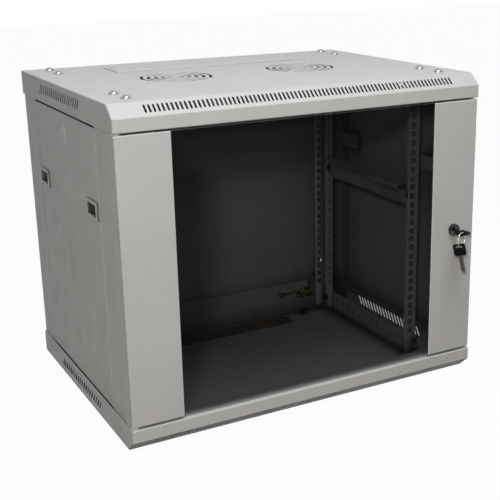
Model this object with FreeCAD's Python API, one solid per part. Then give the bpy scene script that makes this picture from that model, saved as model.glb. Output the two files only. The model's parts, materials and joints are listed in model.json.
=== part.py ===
import FreeCAD, Part
import math
import os

os.makedirs("parts", exist_ok=True)

V = FreeCAD.Vector

# All sizes in mm. X is to the right, Y is to the back, Z is up.
# Cutters reach a little past the faces that they cut, 1 mm where no other figure is given.
# The origin is under the middle of the base, half way between front and back of the covers.

# Overall cabinet
width = 600.0
depth = 450.0
height = 500.0

# Base cover and roof cover, two like pans of bent sheet
cover_sheet = 1.5
cover_height = 37.5
chamfer_depth = 20.0
chamfer_height = 18.0
front_flange_depth = 32.0
cover_bend_radius = 1.8
post_notch_margin = 2.0
post_notch_gap = 1.0

# Narrow slots in the front chamfer
front_slot_count = 78
front_slot_margin = 49.75
front_slot_width = 3.2
front_slot_length = 14.0

# Slanted slots in the side walls of the covers
side_slot_count = 20
side_slot_pitch = 10.17
side_slot_width = 5.0
side_slot_length = 20.0
side_slot_tilt = 33.0
side_slot_row_y = 16.5
side_slot_row_z = 17.5

# Frame: all of it is centred a little behind the middle, because the door takes up the front
frame_middle_y = 10.0
frame_depth_margin = 23.0
post_sheet = 1.2
post_width = 61.0
post_clearance = 0.5
front_return = 27.0
rear_return = 58.0
foot_inset = 53.0
foot_sheet = 1.5
front_foot_reach = 98.5
rear_foot_reach = 93.0

# Cover screws, in pairs at each corner
cover_screw_inset = 40.0
front_screw_near = 32.5
front_screw_far = 82.5
rear_screw_near = 25.0
rear_screw_far = 76.5
cover_screw_radius = 3.0
cover_screw_head_radius = 7.2
cover_screw_head_height = 5.0
nut_height = 5.0
nut_across = 10.0
hole_clearance = 0.3
shank_tail = 1.5
base_shank_gap = 0.3

# Rack: units of 44.45, and a margin beside the holes that leaves 465.1 between them, the 19-inch spacing
unit_pitch = 44.45
unit_count = 9
rack_side_margin = 67.45
square_hole = 9.5
unit_hole_low = 6.35
unit_hole_mid = 22.225
unit_hole_high = 38.1
rail_sheet = 1.5
rail_flange = 20.0
rail_side_depth = 32.0
rail_hole_inset = 8.55
rail_end_gap = 6.0
front_rail_setback = 56.5
rear_rail_setback = 63.5
side_hole_setback = 24.0
side_hole_width = 6.0
unit_mark_length = 5.4
unit_mark_width = 1.2
unit_mark_depth = 0.4
unit_dot_radius = 1.7
unit_dot_rise = 13.0
unit_mark_inset = 0.4
unit_dot_gap = 1.2

# Depth bars
bar_sheet = 1.5
bar_end_gap = 13.5
bar_height = 37.0
bar_foot = 28.0
bar_hole_count = 17
bar_hole_pitch = 20.25
bar_hole_width = 7.0
bar_hole_height = 10.0
bar_hole_z = 24.5
mid_bar_rise = 22.0
mid_bar_height = 36.0
mid_bar_inset = 6.0
mid_flange = 18.0
mid_flange_gap = 2.5
mid_lip_height = 9.0
mid_lip_length = 92.0

# Rail screws
rail_screw_radius = 3.0
rail_screw_head_radius = 6.2
rail_screw_head_height = 4.0
rail_screw_head_round = 1.8
low_screw_inset_front = 15.25
low_screw_inset_rear = 8.25
low_screw_z = 22.5
mid_screw_inset = 24.0
mid_screw_rise = 17.0

# Floor cross bar and cable entries
cross_bar_sheet = 1.5
cross_bar_height = 24.0
cross_bar_foot = 21.0
cross_bar_gap = 0.5
cable_cut_width = 300.0
cable_cut_depth = 46.0
cable_cut_setback = 66.5
cable_cut_radius = 5.0
roof_plate_overlap = 25.0
roof_plate_front_lap = 4.0
roof_plate_rear_lap = 16.0
roof_plate_sheet = 1.2
roof_plate_screw_offset = 15.5
roof_plate_screw_setback = 68.5
small_screw_radius = 1.8
small_head_radius = 3.6
small_head_height = 1.8
small_shank_tail = 3.0
floor_slot_inset = 47.0
floor_slot_gap = 6.0
floor_slot_length = 9.0
floor_slot_width = 4.5

# Fan grilles in the roof
fan_spacing = 220.0
fan_shift = -6.0
fan_y = 2.0
fan_ring_count = 5
fan_ring_outer = 56.7
fan_ring_width = 5.0
fan_ring_pitch = 11.0
fan_spoke = 7.0

# Rear panel and rear cross rails
rear_panel_sheet = 1.2
rear_panel_side_gap = 38.0
rear_panel_end_gap = 3.5
rear_rail_height = 23.0
rear_rail_inset = 1.0
rear_screw_inset_x = 49.0
rear_screw_inset_z = 8.0
rear_screw_radius = 2.0
rear_screw_head_radius = 4.2
rear_screw_head_height = 2.2

# Wall mounting holes in the rear posts
wall_hole_inset_x = 25.0
wall_hole_inset_z = 75.0
wall_hole_radius = 5.0

# Side panels
panel_sheet = 1.2
panel_gap = 0.8
panel_low_gap = 1.7
panel_high_gap = 4.0
panel_fold = 18.0
panel_side_fold = 7.0
panel_bend_radius = 1.5
panel_rest_gap = 0.3
panel_rest_depth = 14.0
panel_rest_reach = 16.0
plug_drop = 72.5
plug_radius = 11.3
plug_dome = 2.6
plug_stem_radius = 9.5
plug_stem_length = 9.0
plug_stem_wall = 1.6

# Finger latches in the side panels
latch_end_gap = 29.7
latch_drop = 162.0
latch_frame_width = 45.0
latch_frame_height = 26.5
latch_frame_proud = 2.5
latch_frame_lip = 1.4
latch_cup_wall = 1.4
latch_cup_depth = 15.0
latch_mouth_margin = 4.2
latch_frame_round = 1.2
bolt_thickness = 2.0
bolt_length = 24.0
bolt_tongue_height = 12.0
bolt_travel = 7.0
bolt_clearance = 0.35
keeper_gap = 0.5
grip_depth = 7.0
grip_thickness = 3.0

# Door
door_gap_low = 4.0
door_gap_high = 2.5
door_sheet = 1.2
door_left_gap = 1.0
door_right_gap = 2.0
left_stile_width = 80.0
right_stile_width = 82.0
door_depth = 19.0
door_bend_radius = 1.4
glass_thickness = 4.0
glass_overlap = 20.0
glass_margin = 0.6
glass_edge_round = 0.5
tape_width = 14.0
tape_thickness = 4.0
tape_margin = 1.0
clamp_sheet = 1.5
clamp_width = 25.5
clamp_inset = 5.0
clamp_end_gap = 4.0
clamp_lip = 3.0
stud_radius = 2.0
stud_length = 13.0
stud_offset = 4.5
stud_count = 4
stud_end_inset = 38.5
stud_nut_height = 3.2
stud_nut_across = 7.0

# Hinge
pivot_inset_x = 6.0
pivot_inset_y = 9.0
pin_radius = 3.0
pin_length = 14.0
pin_clearance = 0.05
washer_radius = 6.5
washer_gap = 0.3

# Lock and keys
lock_inset = 39.0
lock_rise = 2.0
lock_rim_radius = 10.0
lock_rim_length = 5.0
lock_body_radius = 8.0
lock_rim_round = 1.2
rim_tooth_count = 24
rim_tooth_radius = 0.85
rim_tooth_offset = 0.35
rim_tooth_stop = 1.2
plug_core_radius = 5.5
plug_core_clearance = 0.05
plug_core_recess = 0.4
lock_nut_radius = 11.0
lock_nut_flat = 10.0
lock_nut_height = 4.0
lock_body_length = 21.0
cam_thickness = 2.0
cam_width = 15.0
cam_reach = 26.0
cam_behind_post = 0.5
cam_corner = 3.0
cam_screw_radius = 4.0
cam_screw_height = 2.4
key_blade_width = 7.0
key_blade_thickness = 2.2
key_blade_length = 27.0
key_tip_chamfer = 2.0
key_plain_length = 3.0
key_bit_count = 6
key_bit_depth = 1.6
key_bit_step = 0.7
key_inserted = 18.0
key_clearance = 0.05
key_end_gap = 0.6
key_head_width = 20.0
key_head_length = 19.5
key_head_thickness = 4.4
key_head_round = 1.85
key_slot_length = 11.0
key_slot_width = 4.0
key_slot_inset = 2.8
key_head_corner = 3.5
ring_radius = 10.9
ring_wire_radius = 0.6
ring_turn = 20.0
ring_play = 0.45
ring_seat_inset = 2.0
ring_seat_shift = 2.45
spare_turn = -50.0
spare_lean = 12.0
spare_wire_offset = 3.6

# Cable clip and earth lead
clip_inset = 38.0
clip_gap = 12.0
clip_width = 11.0
clip_height = 10.0
clip_depth = 7.0
clip_wall = 2.6
earth_stud_inset = 46.0
earth_stud_z = 17.0
earth_stud_radius = 2.5
earth_stud_length = 11.0
lug_thickness = 1.0
lug_radius = 5.0
lug_barrel_radius = 2.2
lug_barrel_length = 8.0
lug_barrel_gap = 0.1
lug_arm_length = 3.0
lug_arm_half = 2.0
lug_arm_lap = 1.0
earth_nut_height = 4.0
earth_nut_across = 8.0
lead_radius = 1.6
hank_radius = 6.0
hank_left_offset = V(-6.0, -45.0, -2.0)
hank_right_offset = V(42.0, -33.4, 9.6)
hank_end_round = 2.7
tie_share = 0.6
tie_width = 4.5
tie_thickness = 0.9
# The route of the lead from the lug to the hank, as offsets from the earth stud's foot
lead_offsets = (
    V(35.0, -3.1, 2.5),
    V(54.3, -3.6, 8.0),
    V(62.0, -16.2, 12.0),
    V(56.2, -30.0, 13.0),
)

# Levels that follow from the sizes above
half_width = width / 2.0
front_y = -depth / 2.0
back_y = depth / 2.0
roof_under_z = height - cover_height
frame_depth = depth - frame_depth_margin
frame_front_y = frame_middle_y - frame_depth / 2.0
frame_back_y = frame_middle_y + frame_depth / 2.0
post_outer_x = half_width - cover_sheet - post_clearance
post_inner_x = post_outer_x - post_sheet
post_low_z = cover_sheet
post_high_z = height - cover_sheet
front_seat_y = frame_front_y + post_width
rear_seat_y = frame_back_y - post_width
foot_top_z = cover_sheet + foot_sheet
foot_inner_x = half_width - foot_inset
cover_screw_x = half_width - cover_screw_inset
front_screw_y_a = frame_front_y + front_screw_near
front_screw_y_b = frame_front_y + front_screw_far
rear_screw_y_a = frame_back_y - rear_screw_far
rear_screw_y_b = frame_back_y - rear_screw_near
front_slot_pitch = (width - 2.0 * front_slot_margin) / (front_slot_count - 1)
hole_x = half_width - rack_side_margin
rail_inner_x = hole_x - rail_hole_inset
rail_outer_x = rail_inner_x + rail_flange
bar_outer_x = rail_outer_x + bar_sheet
rail_low_z = rail_end_gap
rail_high_z = height - rail_end_gap
rack_low_z = (height - unit_count * unit_pitch) / 2.0
front_rail_y = frame_front_y + front_rail_setback
rear_rail_y = frame_back_y - rear_rail_setback
bar_front_y = frame_front_y + bar_end_gap
bar_rear_y = frame_back_y - bar_end_gap
mid_bar_z = height / 2.0 + mid_bar_rise
mid_bar_front_y = front_rail_y + mid_bar_inset
mid_bar_rear_y = rear_rail_y - mid_bar_inset
mid_screw_z = mid_bar_z + mid_screw_rise
cross_bar_y = rear_rail_y + rail_sheet + cross_bar_gap
cable_cut_rear_y = frame_back_y - cable_cut_setback
cable_cut_front_y = cable_cut_rear_y - cable_cut_depth
roof_plate_front_y = cable_cut_front_y - roof_plate_front_lap
roof_plate_rear_y = cable_cut_rear_y + roof_plate_rear_lap
roof_plate_screw_x = cable_cut_width / 2.0 + roof_plate_screw_offset
roof_plate_screw_y = frame_back_y - roof_plate_screw_setback
floor_slot_x = rail_inner_x - floor_slot_inset
floor_slot_y = cable_cut_front_y - floor_slot_gap
rear_panel_low_z = cover_height + rear_panel_end_gap
rear_screw_x = half_width - rear_screw_inset_x
wall_hole_x = half_width - wall_hole_inset_x
door_left_x = -half_width + door_left_gap
door_right_x = half_width - door_right_gap
door_low_z = cover_height + door_gap_low
door_high_z = roof_under_z - door_gap_high
door_back_y = front_y + door_depth
pivot_x = door_left_x + pivot_inset_x
pivot_y = front_y + pivot_inset_y
glass_front_y = front_y + door_sheet + tape_thickness
glass_back_y = glass_front_y + glass_thickness
left_edge_x = door_left_x + left_stile_width
right_edge_x = door_right_x - right_stile_width
lock_x = door_right_x - lock_inset
lock_z = height / 2.0 + lock_rise
cam_front_y = frame_front_y + post_sheet + cam_behind_post
cam_back_y = cam_front_y + cam_thickness
lock_back_y = front_y + lock_body_length
panel_front_y = front_seat_y + panel_gap
panel_rear_y = rear_seat_y - panel_gap
panel_low_z = cover_height + panel_low_gap
panel_high_z = roof_under_z - panel_high_gap
plug_z = height - plug_drop
latch_z = height - latch_drop
latch_offset_y = panel_rear_y - frame_middle_y - latch_end_gap
panel_outer_x = post_outer_x
panel_inner_x = panel_outer_x - panel_sheet
key_head_near_y = front_y - lock_rim_length - (key_blade_length - key_inserted)
key_head_far_y = key_head_near_y - key_head_length
clip_x = rail_inner_x - clip_inset
clip_y = cable_cut_rear_y - clip_gap
earth_stud_foot = V(rail_inner_x - earth_stud_inset, back_y - cover_sheet, earth_stud_z)
hank_left = earth_stud_foot.add(hank_left_offset)
hank_right = earth_stud_foot.add(hank_right_offset)


def box(x0, y0, z0, x1, y1, z1):
    """A block between two corners, given in any order."""
    low = V(min(x0, x1), min(y0, y1), min(z0, z1))
    return Part.makeBox(abs(x1 - x0), abs(y1 - y0), abs(z1 - z0), low)


def rod(start, end, radius):
    """A round bar between two points."""
    axis = end.sub(start)
    return Part.makeCylinder(radius, axis.Length, start, axis)


def prism(points, travel):
    """A straight extrusion of a closed outline."""
    wire = Part.makePolygon(points + [points[0]])
    return Part.Face(wire).extrude(travel)


def mirror_x(shape):
    """The same piece on the other side of the cabinet."""
    return shape.mirror(V(0, 0, 0), V(1, 0, 0))


def mirror_z(shape):
    """The same piece at the other end of the cabinet's height."""
    return shape.mirror(V(0, 0, height / 2.0), V(0, 0, 1))


def hexagon(centre, axis, across, length):
    """A hexagonal nut blank that starts at a point and runs along an axis."""
    side = V(0, 0, 1) if abs(axis.z) < 0.5 else V(1, 0, 0)
    other = axis.cross(side)
    radius = across / 2.0 / math.cos(math.radians(30))
    points = []
    for step in range(6):
        angle = math.radians(60 * step + 30)
        offset = side * (radius * math.cos(angle)) + other * (radius * math.sin(angle))
        points.append(centre.add(offset))
    return prism(points, axis * length)


def nut(centre, axis, across, length, hole):
    """A hexagonal nut with its bore."""
    blank = hexagon(centre, axis, across, length)
    bore = rod(centre.sub(axis), centre.add(axis * (length + 1)), hole)
    return blank.cut(bore)


def dome(centre, axis, radius, rise):
    """A low domed screw head that sits on a face."""
    ball = (radius * radius + rise * rise) / (2.0 * rise)
    middle = centre.sub(axis * (ball - rise))
    sphere = Part.makeSphere(ball, middle)
    keep = rod(centre, centre.add(axis * (rise + 1)), radius)
    return sphere.common(keep)


def rounded(shape, radius, test):
    """Round the edges that a test picks out."""
    edges = [edge for edge in shape.Edges if test(edge)]
    return shape.makeFillet(radius, edges)


def runs_along(edge, axis):
    """True for a straight edge along the given axis."""
    if len(edge.Vertexes) != 2 or edge.Curve.TypeId != "Part::GeomLine":
        return False
    line = edge.Vertexes[1].Point.sub(edge.Vertexes[0].Point)
    return abs(abs(line.dot(axis)) - line.Length) < 1e-6


def edge_middle(edge):
    """The middle point of a straight edge."""
    return edge.Vertexes[0].Point.add(edge.Vertexes[1].Point) * 0.5


def obround(centre, along, normal, length, slot_width, reach):
    """A cutter for a slot with round ends, reaching both ways through a sheet."""
    along = V(along).normalize()
    normal = V(normal).normalize()
    across = along.cross(normal)
    half = (length - slot_width) / 2.0
    radius = slot_width / 2.0
    base = centre.sub(normal * reach)
    end_a = base.add(along * half)
    end_b = base.sub(along * half)
    side = across * radius
    tip = along * radius
    line_a = Part.makeLine(end_b.add(side), end_a.add(side))
    arc_a = Part.Arc(end_a.add(side), end_a.add(tip), end_a.sub(side)).toShape()
    line_b = Part.makeLine(end_a.sub(side), end_b.sub(side))
    arc_b = Part.Arc(end_b.sub(side), end_b.sub(tip), end_b.add(side)).toShape()
    face = Part.Face(Part.Wire([line_a, arc_a, line_b, arc_b]))
    return face.extrude(normal * (2.0 * reach))


def save(name, *solids):
    """Write one node: one solid, or a group of like solids."""
    shape = solids[0] if len(solids) == 1 else Part.makeCompound(list(solids))
    shape.exportStep("parts/" + name + ".step")


def cover_screw_points():
    """Where the screws of a cover stand, left and right."""
    points = []
    for side in (-1, 1):
        for y in (front_screw_y_a, front_screw_y_b, rear_screw_y_a, rear_screw_y_b):
            points.append((side * cover_screw_x, y))
    return points


def cover_pan():
    """The bent pan that serves as base cover and, turned over, as roof cover."""
    chamfer_y = front_y + chamfer_depth
    outline = [V(-half_width, chamfer_y, 0),
               V(-half_width, back_y, 0),
               V(-half_width, back_y, cover_height),
               V(-half_width, front_y, cover_height),
               V(-half_width, front_y, chamfer_height)]
    outer = prism(outline, V(width, 0, 0))

    def outside_bend(edge):
        middle = edge_middle(edge)
        at_front = middle.y < chamfer_y + 0.1
        at_foot = middle.z < 0.1
        below_rim = middle.z < cover_height - 0.1
        return below_rim and (at_front or at_foot) or runs_along(edge, V(1, 0, 0)) and at_front

    outer = rounded(outer, cover_bend_radius, outside_bend)
    slope = math.hypot(chamfer_depth, chamfer_height)
    normal_y = chamfer_height / slope
    normal_z = chamfer_depth / slope
    low_share = cover_sheet * (1.0 - normal_z) / chamfer_height
    low_y = chamfer_y - chamfer_depth * low_share + cover_sheet * normal_y
    high_share = (chamfer_depth + cover_sheet * (normal_y - 1.0)) / chamfer_depth
    high_z = chamfer_height * high_share + cover_sheet * normal_z
    inner_x = half_width - cover_sheet
    flange_back_y = front_y + front_flange_depth
    hollow = [V(-inner_x, low_y, cover_sheet),
              V(-inner_x, back_y - cover_sheet, cover_sheet),
              V(-inner_x, back_y - cover_sheet, cover_height + 1),
              V(-inner_x, flange_back_y, cover_height + 1),
              V(-inner_x, flange_back_y, cover_height - cover_sheet),
              V(-inner_x, front_y + cover_sheet, cover_height - cover_sheet),
              V(-inner_x, front_y + cover_sheet, high_z)]
    pan = outer.cut(prism(hollow, V(2 * inner_x, 0, 0)))
    cutters = []
    # Room for the front posts at both ends of the front flange
    notch_x = post_outer_x - front_return - post_notch_margin
    for side in (-1, 1):
        cutters.append(box(side * notch_x, frame_front_y - post_notch_gap, cover_height - cover_sheet - 1,
                           side * inner_x, flange_back_y + 1, cover_height + 1))
    # Slots across the front chamfer
    middle = V(0, chamfer_y - chamfer_depth / 2.0, chamfer_height / 2.0)
    along = V(0, -chamfer_depth, chamfer_height)
    normal = V(0, normal_y, normal_z)
    first_x = -(front_slot_count - 1) * front_slot_pitch / 2.0
    for step in range(front_slot_count):
        centre = middle.add(V(first_x + step * front_slot_pitch, 0, 0))
        cutters.append(obround(centre, along, normal, front_slot_length, front_slot_width, 2 * cover_sheet))
    # Slanted slots in the side walls, punched the same way through both
    tilt = math.radians(side_slot_tilt)
    first_y = side_slot_row_y - (side_slot_count - 1) * side_slot_pitch / 2.0
    for side in (-1, 1):
        slant = V(0, side * math.sin(tilt), math.cos(tilt))
        for step in range(side_slot_count):
            centre = V(side * half_width, first_y + step * side_slot_pitch, side_slot_row_z)
            slot = obround(centre, slant, V(1, 0, 0), side_slot_length, side_slot_width, 2 * cover_sheet)
            cutters.append(slot)
    # Screw holes
    for x, y in cover_screw_points():
        cutters.append(rod(V(x, y, -1), V(x, y, cover_sheet + 1), cover_screw_radius + hole_clearance))
    return pan.cut(Part.makeCompound(cutters))


def turned_over(shape):
    """Turn a cover over about the front-to-back line at mid height."""
    turned = shape.copy()
    turned.rotate(V(0, 0, height / 2.0), V(0, 1, 0), 180)
    return turned


def pin_holes():
    """Hinge pin holes in a front flange: the used one at the left, a spare one at the right."""
    cutters = []
    for side in (-1, 1):
        x = side * -pivot_x
        cutters.append(rod(V(x, pivot_y, 0), V(x, pivot_y, height), pin_radius))
    return cutters


def cable_cut(z0, z1):
    """The cable cut-out near the back, with rounded corners."""
    cutter = box(-cable_cut_width / 2.0, cable_cut_front_y, z0, cable_cut_width / 2.0, cable_cut_rear_y, z1)
    return rounded(cutter, cable_cut_radius, lambda edge: runs_along(edge, V(0, 0, 1)))


def flange_zone(z_low):
    """A thin block that covers the front flange only, to limit the pin holes to it."""
    back = front_y + front_flange_depth
    return box(-half_width, front_y, z_low, half_width, back, z_low + 3 * cover_sheet)


def build_covers():
    """Base cover and roof cover."""
    pan = cover_pan()
    base_holes = [hole.common(flange_zone(cover_height - 2 * cover_sheet)) for hole in pin_holes()]
    base_cutters = base_holes + [cable_cut(-1, cover_sheet + 1)]
    slot_centre = V(floor_slot_x, floor_slot_y, cover_sheet / 2.0)
    base_cutters.append(obround(slot_centre, V(1, 0, 0), V(0, 0, 1), floor_slot_length, floor_slot_width,
                                2 * cover_sheet))
    base = pan.cut(Part.makeCompound(base_cutters))
    roof_holes = [hole.common(flange_zone(roof_under_z - cover_sheet)) for hole in pin_holes()]
    roof_cutters = roof_holes + [cable_cut(height - cover_sheet - 1, height + 1)]
    for side in (-1, 1):
        roof_cutters.extend(fan_grille(fan_shift + side * fan_spacing / 2.0))
        x = side * roof_plate_screw_x
        roof_cutters.append(rod(V(x, roof_plate_screw_y, height - 3), V(x, roof_plate_screw_y, height + 1),
                                small_screw_radius))
    roof = turned_over(pan).cut(Part.makeCompound(roof_cutters))
    save("base_cover", base)
    save("roof_cover", roof)


def fan_grille(x):
    """Cutters for one round grille: broken rings of slots."""
    centre = V(x, fan_y, height - cover_sheet - 1)
    travel = cover_sheet + 2
    spokes = []
    for turn in (45, 135):
        bar = Part.makeBox(2 * fan_ring_outer + 4, fan_spoke, travel + 2)
        bar.translate(V(-fan_ring_outer - 2, -fan_spoke / 2.0, -1))
        bar.rotate(V(0, 0, 0), V(0, 0, 1), turn)
        bar.translate(centre)
        spokes.append(bar)
    rings = []
    for step in range(fan_ring_count):
        outer_radius = fan_ring_outer - step * fan_ring_pitch
        outer = Part.makeCylinder(outer_radius, travel, centre)
        inner = Part.makeCylinder(outer_radius - fan_ring_width, travel, centre)
        ring = outer.cut(inner).cut(Part.makeCompound(spokes))
        rings.extend(ring.Solids)
    return rings


def build_roof_plate():
    """The plate over the roof's cable entry and its two screws."""
    half = cable_cut_width / 2.0 + roof_plate_overlap
    plate = box(-half, roof_plate_front_y, height, half, roof_plate_rear_y, height + roof_plate_sheet)
    top = height + roof_plate_sheet
    screws = []
    for side in (-1, 1):
        x = side * roof_plate_screw_x
        plate = plate.cut(rod(V(x, roof_plate_screw_y, height - 1), V(x, roof_plate_screw_y, top + 1),
                              small_screw_radius))
        shank_end = height - cover_sheet - small_shank_tail
        shank = rod(V(x, roof_plate_screw_y, shank_end), V(x, roof_plate_screw_y, top),
                    small_screw_radius)
        head = dome(V(x, roof_plate_screw_y, top), V(0, 0, 1), small_head_radius, small_head_height)
        screws.append(shank.fuse(head).removeSplitter())
    save("roof_cable_plate", plate)
    save("cable_plate_screws", *screws)


def build_cover_screws():
    """Dome-head screws on the roof, like screws inside that hold the base, and the frame's nuts."""
    screws = []
    nuts = []
    stack = cover_sheet + foot_sheet + bar_sheet
    for x, y in cover_screw_points():
        top = V(x, y, height)
        shank_end = V(x, y, height - stack - nut_height - shank_tail)
        head = dome(top, V(0, 0, 1), cover_screw_head_radius, cover_screw_head_height)
        screws.append(head.fuse(rod(shank_end, top, cover_screw_radius)).removeSplitter())
        under = V(x, y, height - stack)
        nuts.append(nut(under, V(0, 0, -1), nut_across, nut_height, cover_screw_radius))
        seat = V(x, y, stack)
        low_head = dome(seat, V(0, 0, 1), cover_screw_head_radius, cover_screw_head_height)
        low_end = V(x, y, base_shank_gap)
        screws.append(low_head.fuse(rod(low_end, seat, cover_screw_radius)).removeSplitter())
    for y, z in rail_screw_places():
        piece = nut(V(bar_outer_x, y, z), V(1, 0, 0), nut_across, nut_height, rail_screw_radius)
        nuts.extend([piece, mirror_x(piece)])
    save("cover_screws", *screws)
    save("frame_nuts", *nuts)


def foot_plate(y0, y1, screw_ys):
    """The bottom plate of a right-hand post, with its screw holes."""
    plate = box(foot_inner_x, y0, cover_sheet, post_inner_x, y1, foot_top_z)
    for y in screw_ys:
        plate = plate.cut(rod(V(cover_screw_x, y, 0), V(cover_screw_x, y, foot_top_z + 1),
                              cover_screw_radius + hole_clearance))
    return plate


def bolt_back_x():
    """The outer face of a latch bolt, inside its cup."""
    return panel_outer_x - latch_cup_depth + latch_cup_wall + bolt_clearance + bolt_thickness


def front_post_right():
    """Front right corner post, one bent sheet with end plates. A latch bolt catches its seat's inner edge."""
    wall = box(post_inner_x, frame_front_y, post_low_z, post_outer_x, front_seat_y, post_high_z)
    front = box(post_outer_x - front_return, frame_front_y, post_low_z,
                post_outer_x, frame_front_y + post_sheet, post_high_z)
    seat = box(bolt_back_x() + keeper_gap, front_seat_y - post_sheet, post_low_z,
               post_outer_x, front_seat_y, post_high_z)
    foot = foot_plate(frame_front_y + post_sheet, frame_front_y + front_foot_reach,
                      (front_screw_y_a, front_screw_y_b))
    rest_top = panel_low_z - panel_rest_gap
    rest = box(post_inner_x - panel_rest_reach, front_seat_y - post_sheet, rest_top - post_sheet,
               post_inner_x, front_seat_y + panel_rest_depth, rest_top)
    post = wall.fuse([front, seat, foot, mirror_z(foot), rest]).removeSplitter()
    corner = lambda edge: (runs_along(edge, V(0, 0, 1)) and abs(edge_middle(edge).x - post_outer_x) < 0.01
                           and abs(edge_middle(edge).y - frame_front_y) < 0.01)
    return rounded(post, post_sheet, corner)


def rear_post_right():
    """Rear right corner post, with the wall holes in its rear return."""
    wall = box(post_inner_x, rear_seat_y, post_low_z, post_outer_x, frame_back_y, post_high_z)
    rear = box(post_outer_x - rear_return, frame_back_y - post_sheet, post_low_z,
               post_outer_x, frame_back_y, post_high_z)
    for side in (-1, 1):
        z = height / 2.0 + side * (height / 2.0 - wall_hole_inset_z)
        rear = rear.cut(rod(V(wall_hole_x, frame_back_y - 3, z), V(wall_hole_x, frame_back_y + 1, z),
                            wall_hole_radius))
        z_screw = height / 2.0 + side * (height / 2.0 - rear_panel_low_z - rear_screw_inset_z)
        rear = rear.cut(rod(V(rear_screw_x, frame_back_y - 3, z_screw),
                            V(rear_screw_x, frame_back_y + 1, z_screw), rear_screw_radius))
    seat = box(bolt_back_x() + keeper_gap, rear_seat_y, post_low_z,
               post_outer_x, rear_seat_y + post_sheet, post_high_z)
    foot = foot_plate(frame_back_y - rear_foot_reach, frame_back_y - post_sheet,
                      (rear_screw_y_a, rear_screw_y_b))
    rest_top = panel_low_z - panel_rest_gap
    rest = box(post_inner_x - panel_rest_reach, rear_seat_y - panel_rest_depth, rest_top - post_sheet,
               post_inner_x, rear_seat_y + post_sheet, rest_top)
    post = wall.fuse([rear, seat, foot, mirror_z(foot), rest]).removeSplitter()
    corner = lambda edge: (runs_along(edge, V(0, 0, 1)) and abs(edge_middle(edge).x - post_outer_x) < 0.01
                           and abs(edge_middle(edge).y - frame_back_y) < 0.01)
    return rounded(post, post_sheet, corner)


def build_posts():
    """All four corner posts."""
    front = front_post_right()
    rear = rear_post_right()
    save("front_post_right", front)
    save("front_post_left", mirror_x(front))
    save("rear_post_right", rear)
    save("rear_post_left", mirror_x(rear))


def build_rear_panel():
    """Rear panel, the cross rails behind it and its screws."""
    panel_back_y = frame_back_y - post_sheet
    panel_front = panel_back_y - rear_panel_sheet
    half = half_width - rear_panel_side_gap
    panel = box(-half, panel_front, rear_panel_low_z, half, panel_back_y, height - rear_panel_low_z)
    inner_x = post_outer_x - rear_return
    rail_low = cover_height + rear_rail_inset
    rail = box(-inner_x, panel_back_y, rail_low, inner_x, frame_back_y, rail_low + rear_rail_height)
    screw_z = rear_panel_low_z + rear_screw_inset_z
    screws = []
    holes = []
    for x in (-rear_screw_x, 0.0, rear_screw_x):
        for z in (screw_z, height - screw_z):
            hole = rod(V(x, panel_front - 1, z), V(x, frame_back_y + 1, z), rear_screw_radius)
            holes.append(hole)
            shank = rod(V(x, panel_front, z), V(x, frame_back_y, z), rear_screw_radius)
            head = dome(V(x, panel_front, z), V(0, -1, 0), rear_screw_head_radius, rear_screw_head_height)
            screws.append(head.fuse(shank).removeSplitter())
    drill = Part.makeCompound(holes)
    save("rear_panel", panel.cut(drill))
    save("rear_cross_rails", rail.cut(drill), mirror_z(rail).cut(drill))
    save("rear_panel_screws", *screws)


def unit_hole_heights():
    """Heights of the hole centres, three in each unit."""
    heights = []
    for unit in range(unit_count):
        for offset in (unit_hole_low, unit_hole_mid, unit_hole_high):
            heights.append(rack_low_z + unit * unit_pitch + offset)
    return heights


def rack_rail(face_y, inward):
    """A right-hand rail with its face at face_y. Its side flange runs back if inward is 1, forward if -1."""
    face_low = face_y if inward > 0 else face_y + rail_sheet
    far_y = face_low + inward * rail_side_depth
    behind_y = face_low + inward * rail_sheet
    flange = box(rail_inner_x, face_low, rail_low_z, rail_outer_x, behind_y, rail_high_z)
    side = box(rail_outer_x - rail_sheet, face_low, rail_low_z, rail_outer_x, far_y, rail_high_z)
    rail = flange.fuse(side).removeSplitter()
    cutters = []
    half = square_hole / 2.0
    row_y = face_low + inward * side_hole_setback
    for z in unit_hole_heights():
        cutters.append(box(hole_x - half, face_y - 2, z - half,
                           hole_x + half, face_y + rail_sheet + 2, z + half))
        cutters.append(box(rail_outer_x - rail_sheet - 1, row_y - side_hole_width / 2.0, z - half,
                           rail_outer_x + 1, row_y + side_hole_width / 2.0, z + half))
    # Unit lines and dots by the outer edge of the face
    mark_x = rail_outer_x - unit_mark_inset
    for unit in range(unit_count + 1):
        z = rack_low_z + unit * unit_pitch
        cutters.append(box(mark_x - unit_mark_length, face_y - 1, z - unit_mark_width / 2.0,
                           mark_x, face_y + unit_mark_depth, z + unit_mark_width / 2.0))
        if unit < unit_count:
            dot = V(hole_x + half + unit_dot_radius + unit_dot_gap, face_y - 1, z + unit_dot_rise)
            cutters.append(rod(dot, dot.add(V(0, unit_mark_depth + 1, 0)), unit_dot_radius))
    for y, z in rail_screw_places():
        if min(face_low, far_y) < y < max(face_low, far_y):
            cutters.append(rod(V(rail_outer_x - 5, y, z), V(rail_outer_x + 5, y, z), rail_screw_radius))
    return rail.cut(Part.makeCompound(cutters))


def rail_screw_places():
    """Side-view places (y, z) of the screws that hold the rails to the bars."""
    low_front = front_rail_y + low_screw_inset_front
    low_rear = rear_rail_y - low_screw_inset_rear
    mid_front = front_rail_y + mid_screw_inset
    mid_rear = rear_rail_y + rail_sheet - mid_screw_inset
    places = []
    for y in (low_front, low_rear):
        places.append((y, low_screw_z))
        places.append((y, height - low_screw_z))
    places.append((mid_front, mid_screw_z))
    places.append((mid_rear, mid_screw_z))
    return places


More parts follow.
